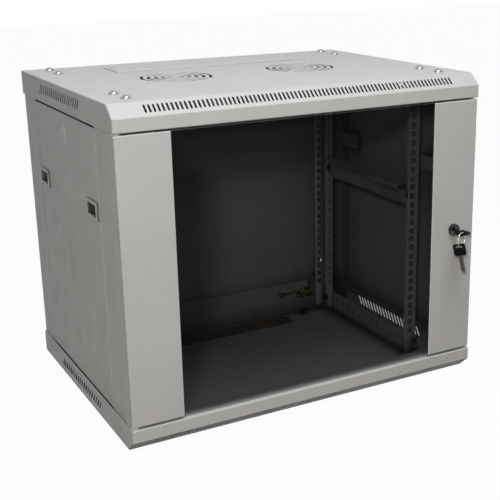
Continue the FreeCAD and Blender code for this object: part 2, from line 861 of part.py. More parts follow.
def screw_drills():
    """Holes for the rail screws through both sheets."""
    return [rod(V(rail_outer_x - 5, y, z), V(bar_outer_x + 5, y, z), rail_screw_radius)
            for y, z in rail_screw_places()]


def bottom_bar_right():
    """Bottom depth bar with its row of holes and its foot."""
    low = foot_top_z
    web = box(rail_outer_x, bar_front_y, low, bar_outer_x, bar_rear_y, low + bar_height)
    foot = box(rail_outer_x, bar_front_y, low, rail_outer_x + bar_foot, bar_rear_y, low + bar_sheet)
    bar = web.fuse(foot).removeSplitter()
    cutters = screw_drills()
    first_y = frame_middle_y - (bar_hole_count - 1) * bar_hole_pitch / 2.0
    for step in range(bar_hole_count):
        y = first_y + step * bar_hole_pitch
        cutters.append(box(rail_outer_x - 1, y - bar_hole_width / 2.0, bar_hole_z - bar_hole_height / 2.0,
                           bar_outer_x + 1, y + bar_hole_width / 2.0, bar_hole_z + bar_hole_height / 2.0))
    for y in (front_screw_y_a, front_screw_y_b, rear_screw_y_a, rear_screw_y_b):
        cutters.append(rod(V(cover_screw_x, y, low - 1), V(cover_screw_x, y, low + bar_sheet + 1),
                           cover_screw_radius + hole_clearance))
    return bar.cut(Part.makeCompound(cutters))


def mid_bar_right():
    """Mid-height bar: a web outside the rails, a flange turned inwards between them, a lip at its front."""
    top = mid_bar_z + mid_bar_height
    web = box(rail_outer_x, mid_bar_front_y, mid_bar_z, bar_outer_x, mid_bar_rear_y, top)
    flange_front = front_rail_y + rail_side_depth + mid_flange_gap
    flange_rear = rear_rail_y + rail_sheet - rail_side_depth - mid_flange_gap
    inner_x = rail_outer_x - mid_flange
    flange = box(inner_x, flange_front, top - bar_sheet, rail_outer_x, flange_rear, top)
    lip = box(inner_x, flange_front, top - mid_lip_height,
              inner_x + bar_sheet, flange_front + mid_lip_length, top)
    bar = web.fuse([flange, lip]).removeSplitter()
    return bar.cut(Part.makeCompound(screw_drills()))


def build_rack():
    """Rails, depth bars and the screws between them."""
    front = rack_rail(front_rail_y, 1)
    rear = rack_rail(rear_rail_y, -1)
    low_bar = bottom_bar_right()
    mid_bar = mid_bar_right()
    save("front_rail_right", front)
    save("front_rail_left", mirror_x(front))
    save("rear_rail_right", rear)
    save("rear_rail_left", mirror_x(rear))
    save("bottom_bar_right", low_bar)
    save("bottom_bar_left", mirror_x(low_bar))
    save("top_bar_right", mirror_z(low_bar))
    save("top_bar_left", mirror_x(mirror_z(low_bar)))
    save("mid_bar_right", mid_bar)
    save("mid_bar_left", mirror_x(mid_bar))
    screws = []
    for y, z in rail_screw_places():
        seat = V(rail_outer_x - rail_sheet, y, z)
        end = V(bar_outer_x + nut_height + shank_tail, y, z)
        head = rod(seat.sub(V(rail_screw_head_height, 0, 0)), seat, rail_screw_head_radius)
        head = rounded(head, rail_screw_head_round,
                       lambda edge: abs(edge.BoundBox.XMax - seat.x + rail_screw_head_height) < 0.01)
        screw = head.fuse(rod(seat, end, rail_screw_radius)).removeSplitter()
        screws.extend([screw, mirror_x(screw)])
    save("rail_screws", *screws)


def build_floor_pieces():
    """Floor cross bar and the cable clip."""
    half = rail_outer_x
    upright = box(-half, cross_bar_y, cover_sheet, half, cross_bar_y + cross_bar_sheet,
                  cover_sheet + cross_bar_sheet + cross_bar_height)
    foot = box(-half, cross_bar_y, cover_sheet,
               half, cross_bar_y + cross_bar_foot, cover_sheet + cross_bar_sheet)
    save("floor_cross_bar", upright.fuse(foot).removeSplitter())
    y0 = clip_y - clip_depth / 2.0
    y1 = clip_y + clip_depth / 2.0
    half = clip_width / 2.0
    arch = box(clip_x - half, y0, cover_sheet, clip_x + half, y1, cover_sheet + clip_height)
    arch = rounded(arch, clip_wall, lambda edge: runs_along(edge, V(0, 1, 0))
                   and edge_middle(edge).z > cover_sheet + 1)
    inside = half - clip_wall
    opening = box(clip_x - inside, y0 - 1, cover_sheet - 1,
                  clip_x + inside, y1 + 1, cover_sheet + clip_height - clip_wall)
    save("cable_clip", arch.cut(opening))


def route_tube(points, radius):
    """A tube of straight runs joined by tangent arcs; prints each arc's radius."""
    edges = []
    start = points[0]
    for index in range(1, len(points) - 1):
        corner = points[index]
        before = points[index - 1].sub(corner)
        after = points[index + 1].sub(corner)
        shorter = min(before.Length, after.Length)
        before.normalize()
        after.normalize()
        turn = math.pi - before.getAngle(after)
        back = 0.45 * shorter
        bend = back / math.tan(turn / 2.0)
        print("lead arc radius", round(bend, 1))
        arc_start = corner.add(before * back)
        arc_end = corner.add(after * back)
        bisector = before.add(after).normalize()
        middle = corner.add(bisector * (math.hypot(back, bend) - bend))
        edges.append(Part.makeLine(start, arc_start))
        edges.append(Part.Arc(arc_start, middle, arc_end).toShape())
        start = arc_end
    edges.append(Part.makeLine(start, points[-1]))
    path = Part.Wire(edges)
    heading = points[1].sub(points[0])
    section = Part.Wire([Part.makeCircle(radius, points[0], heading)])
    tube = path.makePipeShell([section], True, False)
    print("lead length", round(path.Length, 1), "volume ratio",
          round(tube.Volume / (math.pi * radius * radius * path.Length), 4))
    return tube


def build_earth():
    """Earth stud on the back wall of the base, its lug and the tied lead."""
    wall_y = back_y - cover_sheet
    x = earth_stud_foot.x
    z = earth_stud_foot.z
    stud = rod(V(x, wall_y, z), V(x, wall_y - earth_stud_length, z), earth_stud_radius)
    lug_front = wall_y - lug_thickness
    piece = nut(V(x, lug_front, z), V(0, -1, 0), earth_nut_across, earth_nut_height, earth_stud_radius)
    save("earth_stud", stud)
    save("earth_nut", piece)
    ring = rod(V(x, wall_y, z), V(x, lug_front, z), lug_radius)
    arm_end = x + lug_radius + lug_arm_length
    barrel_y = wall_y - lug_barrel_radius - lug_barrel_gap
    arm = box(x, wall_y, z - lug_arm_half, arm_end + lug_arm_lap, lug_front, z + lug_arm_half)
    barrel = rod(V(arm_end, barrel_y, z), V(arm_end + lug_barrel_length, barrel_y, z), lug_barrel_radius)
    lug = ring.fuse([arm, barrel]).removeSplitter()
    lug = lug.cut(rod(V(x, wall_y + 1, z), V(x, lug_front - 1, z), earth_stud_radius))
    save("earth_lug", lug)
    # The surplus of the lead, tied in a hank that leans from the floor towards the rear rail
    hank = rod(hank_left, hank_right, hank_radius)
    hank = rounded(hank, hank_end_round, lambda edge: edge.Curve.TypeId == "Part::GeomCircle")
    along = hank_right.sub(hank_left)
    middle = hank_left.add(along * tie_share)
    unit = V(along).normalize()
    tie_start = middle.sub(unit * (tie_width / 2.0))
    tie_end = middle.add(unit * (tie_width / 2.0))
    tie = rod(tie_start, tie_end, hank_radius + tie_thickness).cut(rod(tie_start, tie_end, hank_radius))
    save("earth_hank", hank)
    save("hank_tie", tie)
    start = V(arm_end + lug_barrel_length, barrel_y, z)
    bends = [earth_stud_foot.add(offset) for offset in lead_offsets]
    save("earth_lead", route_tube([start] + bends + [hank_right], lead_radius))


def latch_centres():
    """The y of both latches of a side panel, with the way that their bolts shoot."""
    return ((frame_middle_y - latch_offset_y, -1), (frame_middle_y + latch_offset_y, 1))


def latch_cup(centre_y, way):
    """The raised frame and cup of a right-hand finger latch."""
    half_y = latch_frame_width / 2.0
    half_z = latch_frame_height / 2.0
    face_x = panel_outer_x + latch_frame_proud
    frame = box(panel_outer_x, centre_y - half_y, latch_z - half_z,
                face_x, centre_y + half_y, latch_z + half_z)
    frame = rounded(frame, latch_frame_round, lambda edge: edge.BoundBox.XMin > face_x - 0.01)
    body_y = half_y - latch_frame_lip
    body_z = half_z - latch_frame_lip
    back_x = panel_outer_x - latch_cup_depth
    body = box(back_x, centre_y - body_y, latch_z - body_z,
               panel_outer_x, centre_y + body_y, latch_z + body_z)
    cup = frame.fuse(body).removeSplitter()
    mouth_y = half_y - latch_mouth_margin
    mouth_z = half_z - latch_mouth_margin
    mouth = box(back_x + latch_cup_wall, centre_y - mouth_y, latch_z - mouth_z,
                face_x + 1, centre_y + mouth_y, latch_z + mouth_z)
    bolt_x = bolt_back_x()
    slot_z = bolt_tongue_height / 2.0 + bolt_clearance
    slot = box(bolt_x - bolt_thickness - bolt_clearance, centre_y, latch_z - slot_z,
               bolt_x + bolt_clearance, centre_y + way * (half_y + 1), latch_z + slot_z)
    return cup.cut(mouth).cut(slot)


def latch_bolt(centre_y, way, seat_edge_y):
    """The sliding bolt of a right-hand latch, drawn back, with its finger grip."""
    bolt_x = bolt_back_x()
    mouth_z = latch_frame_height / 2.0 - latch_mouth_margin
    plate_z = mouth_z - bolt_clearance
    plate_mid = centre_y - way * bolt_travel / 2.0
    plate = box(bolt_x - bolt_thickness, plate_mid - bolt_length / 2.0, latch_z - plate_z,
                bolt_x, plate_mid + bolt_length / 2.0, latch_z + plate_z)
    half = bolt_tongue_height / 2.0
    tongue = box(bolt_x - bolt_thickness, plate_mid, latch_z - half, bolt_x, seat_edge_y, latch_z + half)
    grip = box(bolt_x - bolt_thickness, plate_mid - grip_thickness / 2.0, latch_z - plate_z,
               bolt_x + grip_depth, plate_mid + grip_thickness / 2.0, latch_z + plate_z)
    return plate.fuse([tongue, grip]).removeSplitter()


def side_panel_right():
    """Right side panel: a tray with folded edges and holes for the latches and the plug."""
    outer = box(panel_inner_x - panel_fold, panel_front_y, panel_low_z,
                panel_outer_x, panel_rear_y, panel_high_z)
    on_face = lambda edge: edge.BoundBox.XMin > panel_outer_x - 0.01
    outer = rounded(outer, panel_bend_radius, on_face)
    cut_out = box(panel_inner_x - panel_fold - 1, panel_front_y + panel_sheet, panel_low_z + panel_sheet,
                  panel_inner_x, panel_rear_y - panel_sheet, panel_high_z - panel_sheet)
    panel = outer.cut(cut_out)
    # The side folds are shorter than the top and bottom folds
    for y in (panel_front_y, panel_rear_y):
        panel = panel.cut(box(panel_inner_x - panel_fold - 1, y - 2, panel_low_z - 1,
                              panel_inner_x - panel_side_fold, y + 2, panel_high_z + 1))
    body_y = latch_frame_width / 2.0 - latch_frame_lip
    body_z = latch_frame_height / 2.0 - latch_frame_lip
    for latch in latch_centres():
        panel = panel.cut(box(panel_inner_x - 1, latch[0] - body_y, latch_z - body_z,
                              panel_outer_x + 1, latch[0] + body_y, latch_z + body_z))
    return panel.cut(rod(V(panel_inner_x - 1, frame_middle_y, plug_z),
                         V(panel_outer_x + 1, frame_middle_y, plug_z), plug_stem_radius))


def build_side_panels():
    """Side panels with their plugs, latch cups and latch bolts."""
    panel = side_panel_right()
    save("side_panel_right", panel)
    save("side_panel_left", mirror_x(panel))
    cap = dome(V(panel_outer_x, frame_middle_y, plug_z), V(1, 0, 0), plug_radius, plug_dome)
    stem = rod(V(panel_outer_x - plug_stem_length, frame_middle_y, plug_z),
               V(panel_outer_x, frame_middle_y, plug_z), plug_stem_radius)
    hollow = rod(V(panel_outer_x - plug_stem_length - 1, frame_middle_y, plug_z),
                 V(panel_outer_x - 1, frame_middle_y, plug_z), plug_stem_radius - plug_stem_wall)
    plug = cap.fuse(stem).removeSplitter().cut(hollow)
    save("plug_right", plug)
    save("plug_left", mirror_x(plug))
    cups = []
    for centre_y, way in latch_centres():
        cups.append(latch_cup(centre_y, way))
        seat_edge_y = panel_front_y if way < 0 else panel_rear_y
        bolt = latch_bolt(centre_y, way, seat_edge_y)
        name = "front" if way < 0 else "rear"
        save("latch_bolt_right_" + name, bolt)
        save("latch_bolt_left_" + name, mirror_x(bolt))
    save("latch_cups_right", *cups)
    save("latch_cups_left", *[mirror_x(cup) for cup in cups])


def stile(outer_x, edge_x):
    """A door stile: a bent sheet with a deep outer return, end flaps and studs."""
    way = 1 if edge_x > outer_x else -1
    z0 = door_low_z
    z1 = door_high_z
    block = box(outer_x, front_y, z0, edge_x, door_back_y, z1)

    def front_edge(edge):
        middle = edge_middle(edge) if runs_along(edge, V(0, 0, 1)) or runs_along(edge, V(1, 0, 0)) else None
        return middle is not None and middle.y < front_y + 0.01

    block = rounded(block, door_bend_radius, front_edge)
    hollow = box(outer_x + way * door_sheet, front_y + door_sheet, z0 + door_sheet,
                 edge_x - way * door_sheet, door_back_y + 1, z1 - door_sheet)
    shell = block.cut(hollow)
    # The end flaps stop short of the glass, and the inner edge has no return
    stud_start_y = front_y + door_sheet
    glass_edge = edge_x - way * glass_overlap
    flap_end = glass_edge - way * glass_margin
    shell = shell.cut(box(flap_end, stud_start_y, z0 - 1, edge_x + way, door_back_y + 1, z1 + 1))
    stud_x = flap_end - way * stud_offset
    studs = [rod(V(stud_x, stud_start_y, z), V(stud_x, stud_start_y + stud_length, z), stud_radius)
             for z in stud_heights()]
    return shell.fuse(studs).removeSplitter(), stud_x


def stud_heights():
    """Heights of the studs that clamp the glass, evenly spread up the door."""
    low = door_low_z + stud_end_inset
    high = door_high_z - stud_end_inset
    return [low + (high - low) * step / (stud_count - 1) for step in range(stud_count)]


def build_door():
    """Stiles, glass, tapes, clamp strips and their nuts."""
    left, left_stud_x = stile(door_left_x, left_edge_x)
    right, right_stud_x = stile(door_right_x, right_edge_x)
    low_flap = (door_low_z - 1, door_low_z + door_sheet + 1)
    high_flap = (door_high_z - door_sheet - 1, door_high_z + 1)
    for z0, z1 in (low_flap, high_flap):
        left = left.cut(rod(V(pivot_x, pivot_y, z0), V(pivot_x, pivot_y, z1), pin_radius + pin_clearance))
    lock_hole = rod(V(lock_x, front_y - 1, lock_z), V(lock_x, front_y + door_sheet + 1, lock_z),
                    lock_body_radius)
    right = right.cut(lock_hole)
    save("door_stile_left", left)
    save("door_stile_right", right)
    glass_low = door_low_z + glass_margin
    glass_high = door_high_z - glass_margin
    pane = box(left_edge_x - glass_overlap, glass_front_y, glass_low,
               right_edge_x + glass_overlap, glass_back_y, glass_high)
    pane = rounded(pane, glass_edge_round,
                   lambda edge: runs_along(edge, V(1, 0, 0)) or runs_along(edge, V(0, 0, 1)))
    save("door_glass", pane)
    tapes = []
    strips = []
    nuts = []
    for edge_x, way, stud_x in ((left_edge_x, -1, left_stud_x), (right_edge_x, 1, right_stud_x)):
        tape_start = edge_x + way * (glass_overlap - tape_width - tape_margin)
        tapes.append(box(tape_start, front_y + door_sheet, glass_low + tape_margin,
                         tape_start + way * tape_width, glass_front_y, glass_high - tape_margin))
        strip_start = edge_x + way * clamp_inset
        strip_low = glass_low + clamp_end_gap
        strip_high = glass_high - clamp_end_gap
        strip = box(strip_start, glass_back_y, strip_low, strip_start + way * clamp_width,
                    glass_back_y + clamp_sheet, strip_high)
        far = strip_start + way * clamp_width
        lip = box(far, glass_back_y, strip_low, far - way * clamp_sheet,
                  glass_back_y - clamp_lip, strip_high)
        strip = strip.fuse(lip).removeSplitter()
        for z in stud_heights():
            hole = rod(V(stud_x, glass_back_y - 5, z), V(stud_x, glass_back_y + 5, z), stud_radius)
            strip = strip.cut(hole)
            nuts.append(nut(V(stud_x, glass_back_y + clamp_sheet, z), V(0, 1, 0), stud_nut_across,
                            stud_nut_height, stud_radius))
        strips.append(strip)
    save("glass_tapes", *tapes)
    save("glass_clamps", *strips)
    save("clamp_nuts", *nuts)


def build_hinge():
    """Hinge pins fixed in the cover flanges, with a washer on each."""
    def upright(z0, z1, radius):
        return rod(V(pivot_x, pivot_y, z0), V(pivot_x, pivot_y, z1), radius)

    low_pin = upright(cover_height - cover_sheet, cover_height + pin_length, pin_radius)
    high_pin = upright(roof_under_z - pin_length, roof_under_z + cover_sheet, pin_radius)
    save("hinge_pins", low_pin, high_pin)
    low = upright(cover_height, door_low_z - washer_gap, washer_radius)
    high = upright(door_high_z + washer_gap, roof_under_z, washer_radius)
    save("hinge_washers", low.cut(low_pin), high.cut(high_pin))


def key_head(corner):
    """A black key head lying flat; its near edge is at y 0 and it runs to negative y."""
    half = key_head_width / 2.0
    plate = box(-half, -key_head_length, -key_head_thickness / 2.0, half, 0, key_head_thickness / 2.0)
    plate = rounded(plate, corner, lambda edge: runs_along(edge, V(0, 0, 1)))
    plate = rounded(plate, key_head_round,
                    lambda edge: abs(edge.BoundBox.ZMax - edge.BoundBox.ZMin) < 0.01)
    slot = obround(V(0, -key_head_length + key_slot_inset + key_slot_width / 2.0, 0), V(1, 0, 0), V(0, 0, 1),
                   key_slot_length, key_slot_width, key_head_thickness)
    return plate.cut(slot)


def key_blade(length):
    """The metal blade of a key, with bittings along one edge; it runs to positive y from y 0."""
    half = key_blade_width / 2.0
    thick = key_blade_thickness / 2.0
    tip = half - key_tip_chamfer
    points = [V(-half, 0, -thick),
              V(-half, length - key_plain_length, -thick),
              V(-tip, length, -thick),
              V(tip, length, -thick)]
    first_y = length - key_tip_chamfer
    pitch = (first_y - 2 * key_plain_length) / key_bit_count
    for step in range(key_bit_count):
        y = first_y - step * pitch
        points.append(V(half, y, -thick))
        points.append(V(half - key_bit_depth + key_bit_step * (step % 2), y - pitch / 2.0, -thick))
    points.append(V(half, key_plain_length, -thick))
    points.append(V(half, 0, -thick))
    return prism(points, V(0, 0, key_blade_thickness))


def ring_frame():
    """Where the wire ring hangs: its seat on the key head, its direction, its axis and its centre."""
    turn = math.radians(ring_turn)
    in_plane = V(math.cos(turn), math.sin(turn), 0)
    normal = V(math.sin(turn), -math.cos(turn), 0)
    slot_y = key_head_far_y + key_slot_inset + key_slot_width / 2.0
    slot_end_x = lock_x - key_slot_length / 2.0
    seat = V(slot_end_x - ring_seat_inset, slot_y - ring_seat_shift, lock_z)
    drop = ring_radius - ring_wire_radius - key_head_thickness / 2.0 - ring_play
    return seat, in_plane, normal, seat.sub(V(0, 0, drop))


def build_lock():
    """Lock barrel, nut, plug, cam and inserted key."""
    rim_front_y = front_y - lock_rim_length
    rim = rod(V(lock_x, rim_front_y, lock_z), V(lock_x, front_y, lock_z), lock_rim_radius)
    rim = rounded(rim, lock_rim_round, lambda edge: edge.BoundBox.YMax < rim_front_y + 0.01)
    teeth = []
    tooth_circle = lock_rim_radius + rim_tooth_offset
    for step in range(rim_tooth_count):
        angle = 2 * math.pi * step / rim_tooth_count
        x = lock_x + tooth_circle * math.cos(angle)
        z = lock_z + tooth_circle * math.sin(angle)
        teeth.append(rod(V(x, rim_front_y - 1, z), V(x, front_y - rim_tooth_stop, z), rim_tooth_radius))
    rim = rim.cut(Part.makeCompound(teeth))
    tube = rod(V(lock_x, front_y, lock_z), V(lock_x, lock_back_y, lock_z), lock_body_radius)
    bore = rod(V(lock_x, rim_front_y - 1, lock_z), V(lock_x, lock_back_y + 1, lock_z),
               plug_core_radius + plug_core_clearance)
    save("lock_barrel", rim.fuse(tube).removeSplitter().cut(bore))
    nut_start = front_y + door_sheet
    nut_end = nut_start + lock_nut_height
    lock_nut = rod(V(lock_x, nut_start, lock_z), V(lock_x, nut_end, lock_z), lock_nut_radius)
    for side in (-1, 1):
        flat = lock_nut_flat * side
        lock_nut = lock_nut.cut(box(lock_x - 20, nut_start - 1, lock_z + flat,
                                    lock_x + 20, nut_end + 1, lock_z + flat + side * 5))
    lock_nut = lock_nut.cut(rod(V(lock_x, nut_start - 1, lock_z),
                                V(lock_x, nut_end + 1, lock_z), lock_body_radius))
    save("lock_nut", lock_nut)
    # The key slides in the plug's slot and turns the plug
    core_front = rim_front_y + plug_core_recess
    core = rod(V(lock_x, core_front, lock_z), V(lock_x, cam_front_y, lock_z), plug_core_radius)
    half_slot = key_blade_width / 2.0 + key_clearance
    half_thick = key_blade_thickness / 2.0 + key_clearance
    keyway = box(lock_x - half_slot, core_front - 1, lock_z - half_thick,
                 lock_x + half_slot, key_head_near_y + key_blade_length + key_end_gap, lock_z + half_thick)
    save("lock_plug", core.cut(keyway))
    cam = box(lock_x - cam_width / 2.0, cam_front_y, lock_z - cam_reach,
              lock_x + cam_width / 2.0, cam_back_y, lock_z + cam_width / 2.0)
    cam = rounded(cam, cam_corner, lambda edge: runs_along(edge, V(0, 1, 0)))
    save("lock_cam", cam)
    save("cam_screw", dome(V(lock_x, cam_back_y, lock_z), V(0, 1, 0), cam_screw_radius, cam_screw_height))
    blade = key_blade(key_blade_length)
    blade.translate(V(lock_x, key_head_near_y, lock_z))
    save("key_blade", blade)
    head = key_head(key_head_corner)
    head.translate(V(lock_x, key_head_near_y, lock_z))
    save("key_head", head)


def build_loose_keys():
    """The wire ring and the spare key that hangs on it."""
    seat, in_plane, normal, centre = ring_frame()
    save("key_ring", Part.makeTorus(ring_radius, ring_wire_radius, centre, normal))
    low_point = centre.sub(V(0, 0, ring_radius))
    # The wire lies in one end of the spare key's slot, so the key hangs with a lean
    slot_edge = -key_head_length + key_slot_inset
    wire_y = slot_edge + ring_wire_radius + ring_play
    pieces = {"spare_key_head": key_head(key_head_corner), "spare_key_blade": key_blade(key_blade_length)}
    for name, piece in pieces.items():
        piece.translate(V(-spare_wire_offset, -wire_y, 0))
        piece.rotate(V(0, 0, 0), V(1, 0, 0), -90)
        piece.rotate(V(0, 0, 0), V(0, 1, 0), -spare_lean)
        piece.rotate(V(0, 0, 0), V(0, 0, 1), spare_turn)
        piece.translate(low_point)
        save(name, piece)
    print("ring seat", [round(c, 3) for c in seat], "ring direction", [round(c, 4) for c in in_plane])
    print("spare key hangs at", [round(c, 3) for c in low_point])


build_covers()
build_roof_plate()
build_cover_screws()
build_posts()
build_rear_panel()
build_rack()
build_floor_pieces()
build_earth()
build_side_panels()
build_door()
build_hinge()
build_lock()
build_loose_keys()
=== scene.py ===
import json
import math

import bmesh
import bpy
from mathutils import Matrix, Vector


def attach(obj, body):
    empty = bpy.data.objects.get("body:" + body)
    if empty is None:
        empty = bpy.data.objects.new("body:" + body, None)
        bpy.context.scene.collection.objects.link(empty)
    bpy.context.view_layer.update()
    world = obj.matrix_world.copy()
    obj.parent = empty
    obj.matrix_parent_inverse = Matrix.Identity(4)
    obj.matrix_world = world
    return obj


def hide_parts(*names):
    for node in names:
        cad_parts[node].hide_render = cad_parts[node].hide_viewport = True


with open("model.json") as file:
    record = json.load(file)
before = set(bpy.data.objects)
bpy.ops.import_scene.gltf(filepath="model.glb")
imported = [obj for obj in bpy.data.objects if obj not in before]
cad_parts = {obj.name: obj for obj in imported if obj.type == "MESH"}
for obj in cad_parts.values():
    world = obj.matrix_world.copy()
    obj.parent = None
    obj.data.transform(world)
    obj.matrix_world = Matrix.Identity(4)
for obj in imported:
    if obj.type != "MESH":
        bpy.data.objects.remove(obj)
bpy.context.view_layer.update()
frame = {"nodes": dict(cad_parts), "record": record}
scene = bpy.context.scene
MM = 0.001

# Where the photograph was taken from, in mm and degrees, in the cabinet's own frame
camera_place = Vector((-702.69, -1444.67, 694.72))
camera_azimuth = -29.501
camera_elevation = 16.813
camera_roll = -0.548
camera_sensor = 36.0
picture_size = 500.0
focal_pixels = 987.62
centre_pixel_x = 307.33
centre_pixel_y = 243.43


def point(x, y, z):
    """A point given in mm."""
    return Vector((x, y, z)) * MM


def make_camera():
    """A camera that stands and looks as the photograph's did."""
    azimuth = math.radians(camera_azimuth)
    elevation = math.radians(camera_elevation)
    roll = math.radians(camera_roll)
    back = Vector((math.sin(azimuth) * math.cos(elevation), -math.cos(azimuth) * math.cos(elevation),
                   math.sin(elevation)))
    right = (-back).cross(Vector((0, 0, 1))).normalized()
    up = right.cross(-back)
    right, up = (right * math.cos(roll) + up * math.sin(roll), up * math.cos(roll) - right * math.sin(roll))
    data = bpy.data.cameras.new("camera")
    camera = bpy.data.objects.new("camera", data)
    scene.collection.objects.link(camera)
    turn = Matrix((right, up, back)).transposed().to_4x4()
    camera.matrix_world = Matrix.Translation(camera_place * MM) @ turn
    data.sensor_width = camera_sensor
    data.lens = focal_pixels * camera_sensor / picture_size
    data.shift_x = (picture_size / 2.0 - centre_pixel_x) / picture_size
    data.shift_y = (centre_pixel_y - picture_size / 2.0) / picture_size
    data.clip_start = 0.05
    data.clip_end = 50.0
    scene.camera = camera


# Node helpers
def new_material(name):
    """An empty node material with its output."""
    material = bpy.data.materials.new(name)
    material.use_nodes = True
    tree = material.node_tree
    tree.nodes.clear()
    output = tree.nodes.new("ShaderNodeOutputMaterial")
    return material, tree, output


def node(tree, kind, **values):
    """A node with its properties set."""
    made = tree.nodes.new(kind)
    for key, value in values.items():
        setattr(made, key, value)
    return made


def principled(tree, output, colour, roughness, metallic=0.0):
    """The surface shader, joined to the output."""
    shader = node(tree, "ShaderNodeBsdfPrincipled")
    shader.inputs["Base Color"].default_value = (*colour, 1.0)
    shader.inputs["Roughness"].default_value = roughness
    shader.inputs["Metallic"].default_value = metallic
    tree.links.new(shader.outputs[0], output.inputs["Surface"])
    return shader


def noise(tree, scale, detail=2.0, roughness=0.5):
    """Noise in the cabinet's own coordinates, so it doesn't slide."""
    place = node(tree, "ShaderNodeTexCoord")
    made = node(tree, "ShaderNodeTexNoise")
    made.inputs["Scale"].default_value = scale
    made.inputs["Detail"].default_value = detail
    made.inputs["Roughness"].default_value = roughness
    tree.links.new(place.outputs["Object"], made.inputs["Vector"])
    return made


def remapped(tree, source, from_low, from_high, to_low=0.0, to_high=1.0):
    """A value taken from one range to another and held within it."""
    made = node(tree, "ShaderNodeMapRange")
    made.inputs["From Min"].default_value = from_low
    made.inputs["From Max"].default_value = from_high
    made.inputs["To Min"].default_value = to_low
    made.inputs["To Max"].default_value = to_high
    tree.links.new(source, made.inputs["Value"])
    return made.outputs["Result"]


def spread(tree, source, low, high):
    """Maps a noise value to a range."""
    return remapped(tree, source, noise_low, noise_high, low, high)


def calculated(tree, operation, *values):
    """The result of a math node, fed with sockets or plain numbers."""
    made = node(tree, "ShaderNodeMath", operation=operation)
    for socket, value in zip(made.inputs, values):
        if isinstance(value, float):
            socket.default_value = value
        else:
            tree.links.new(value, socket)
    return made.outputs[0]


def coordinate(tree, source, axis):
    """One coordinate of a vector socket."""
    split = node(tree, "ShaderNodeSeparateXYZ")
    tree.links.new(source, split.inputs[0])
    return split.outputs[axis]


def blend_colours(tree, factor, first, second):
    """Mixes two colours, or sockets, by a factor socket."""
    made = node(tree, "ShaderNodeMix", data_type="RGBA")
    tree.links.new(factor, made.inputs["Factor"])
    for socket, value in ((made.inputs[6], first), (made.inputs[7], second)):
        if isinstance(value, tuple):
            socket.default_value = (*value, 1.0)
        else:
            tree.links.new(value, socket)
    return made.outputs[2]


def bumped(tree, shader, height, distance, strength=1.0, edge_radius=0.0):
    """Gives a shader a bump, on softened edges where edge_radius is set."""
    bump = node(tree, "ShaderNodeBump")
    bump.inputs["Distance"].default_value = distance
    bump.inputs["Strength"].default_value = strength
    tree.links.new(height, bump.inputs["Height"])
    if edge_radius > 0:
        soft = node(tree, "ShaderNodeBevel", samples=4)
        soft.inputs["Radius"].default_value = edge_radius
        tree.links.new(soft.outputs["Normal"], bump.inputs["Normal"])
    tree.links.new(bump.outputs["Normal"], shader.inputs["Normal"])


def edge_share(tree, width):
    """1 on sharp edges and tight bends, 0 on flat faces."""
    shape = node(tree, "ShaderNodeNewGeometry")
    soft = node(tree, "ShaderNodeBevel", samples=4)
    soft.inputs["Radius"].default_value = width
    match = node(tree, "ShaderNodeVectorMath", operation="DOT_PRODUCT")
    tree.links.new(soft.outputs["Normal"], match.inputs[0])
    tree.links.new(shape.outputs["Normal"], match.inputs[1])
    return remapped(tree, match.outputs["Value"], flat_match, bend_match)


def past_limits(tree, source, limits):
    """1 outside a box round the origin, given as its half size along each named axis, and 0 within it."""
    outside = 0.0
    for axis, half in limits:
        distance = calculated(tree, "ABSOLUTE", coordinate(tree, source, axis))
        past = calculated(tree, "GREATER_THAN", distance, half)
        outside = calculated(tree, "MAXIMUM", outside, past)
    return outside


def openness(tree, reach, closed, spared_height):
    """1 on open faces and on upright outer faces below spared_height, less in holes, gaps and corners; the
    mask for painted shade.
    """
    made = node(tree, "ShaderNodeAmbientOcclusion", samples=6)
    made.inputs["Distance"].default_value = reach
    free = remapped(tree, made.outputs["AO"], closed, fully_open)
    place = node(tree, "ShaderNodeTexCoord")
    centred = node(tree, "ShaderNodeVectorMath", operation="SUBTRACT")
    tree.links.new(place.outputs["Object"], centred.inputs[0])
    centred.inputs[1].default_value = inside_centre
    outer = past_limits(tree, centred.outputs[0], inside_half)
    low = calculated(tree, "LESS_THAN", coordinate(tree, place.outputs["Object"], "Z"), spared_height)
    shape = node(tree, "ShaderNodeNewGeometry")
    upright = calculated(tree, "GREATER_THAN", coordinate(tree, shape.outputs["Normal"], "Z"), upright_slope)
    spared = calculated(tree, "MULTIPLY", outer, calculated(tree, "MULTIPLY", low, upright))
    return calculated(tree, "MAXIMUM", spared, free)


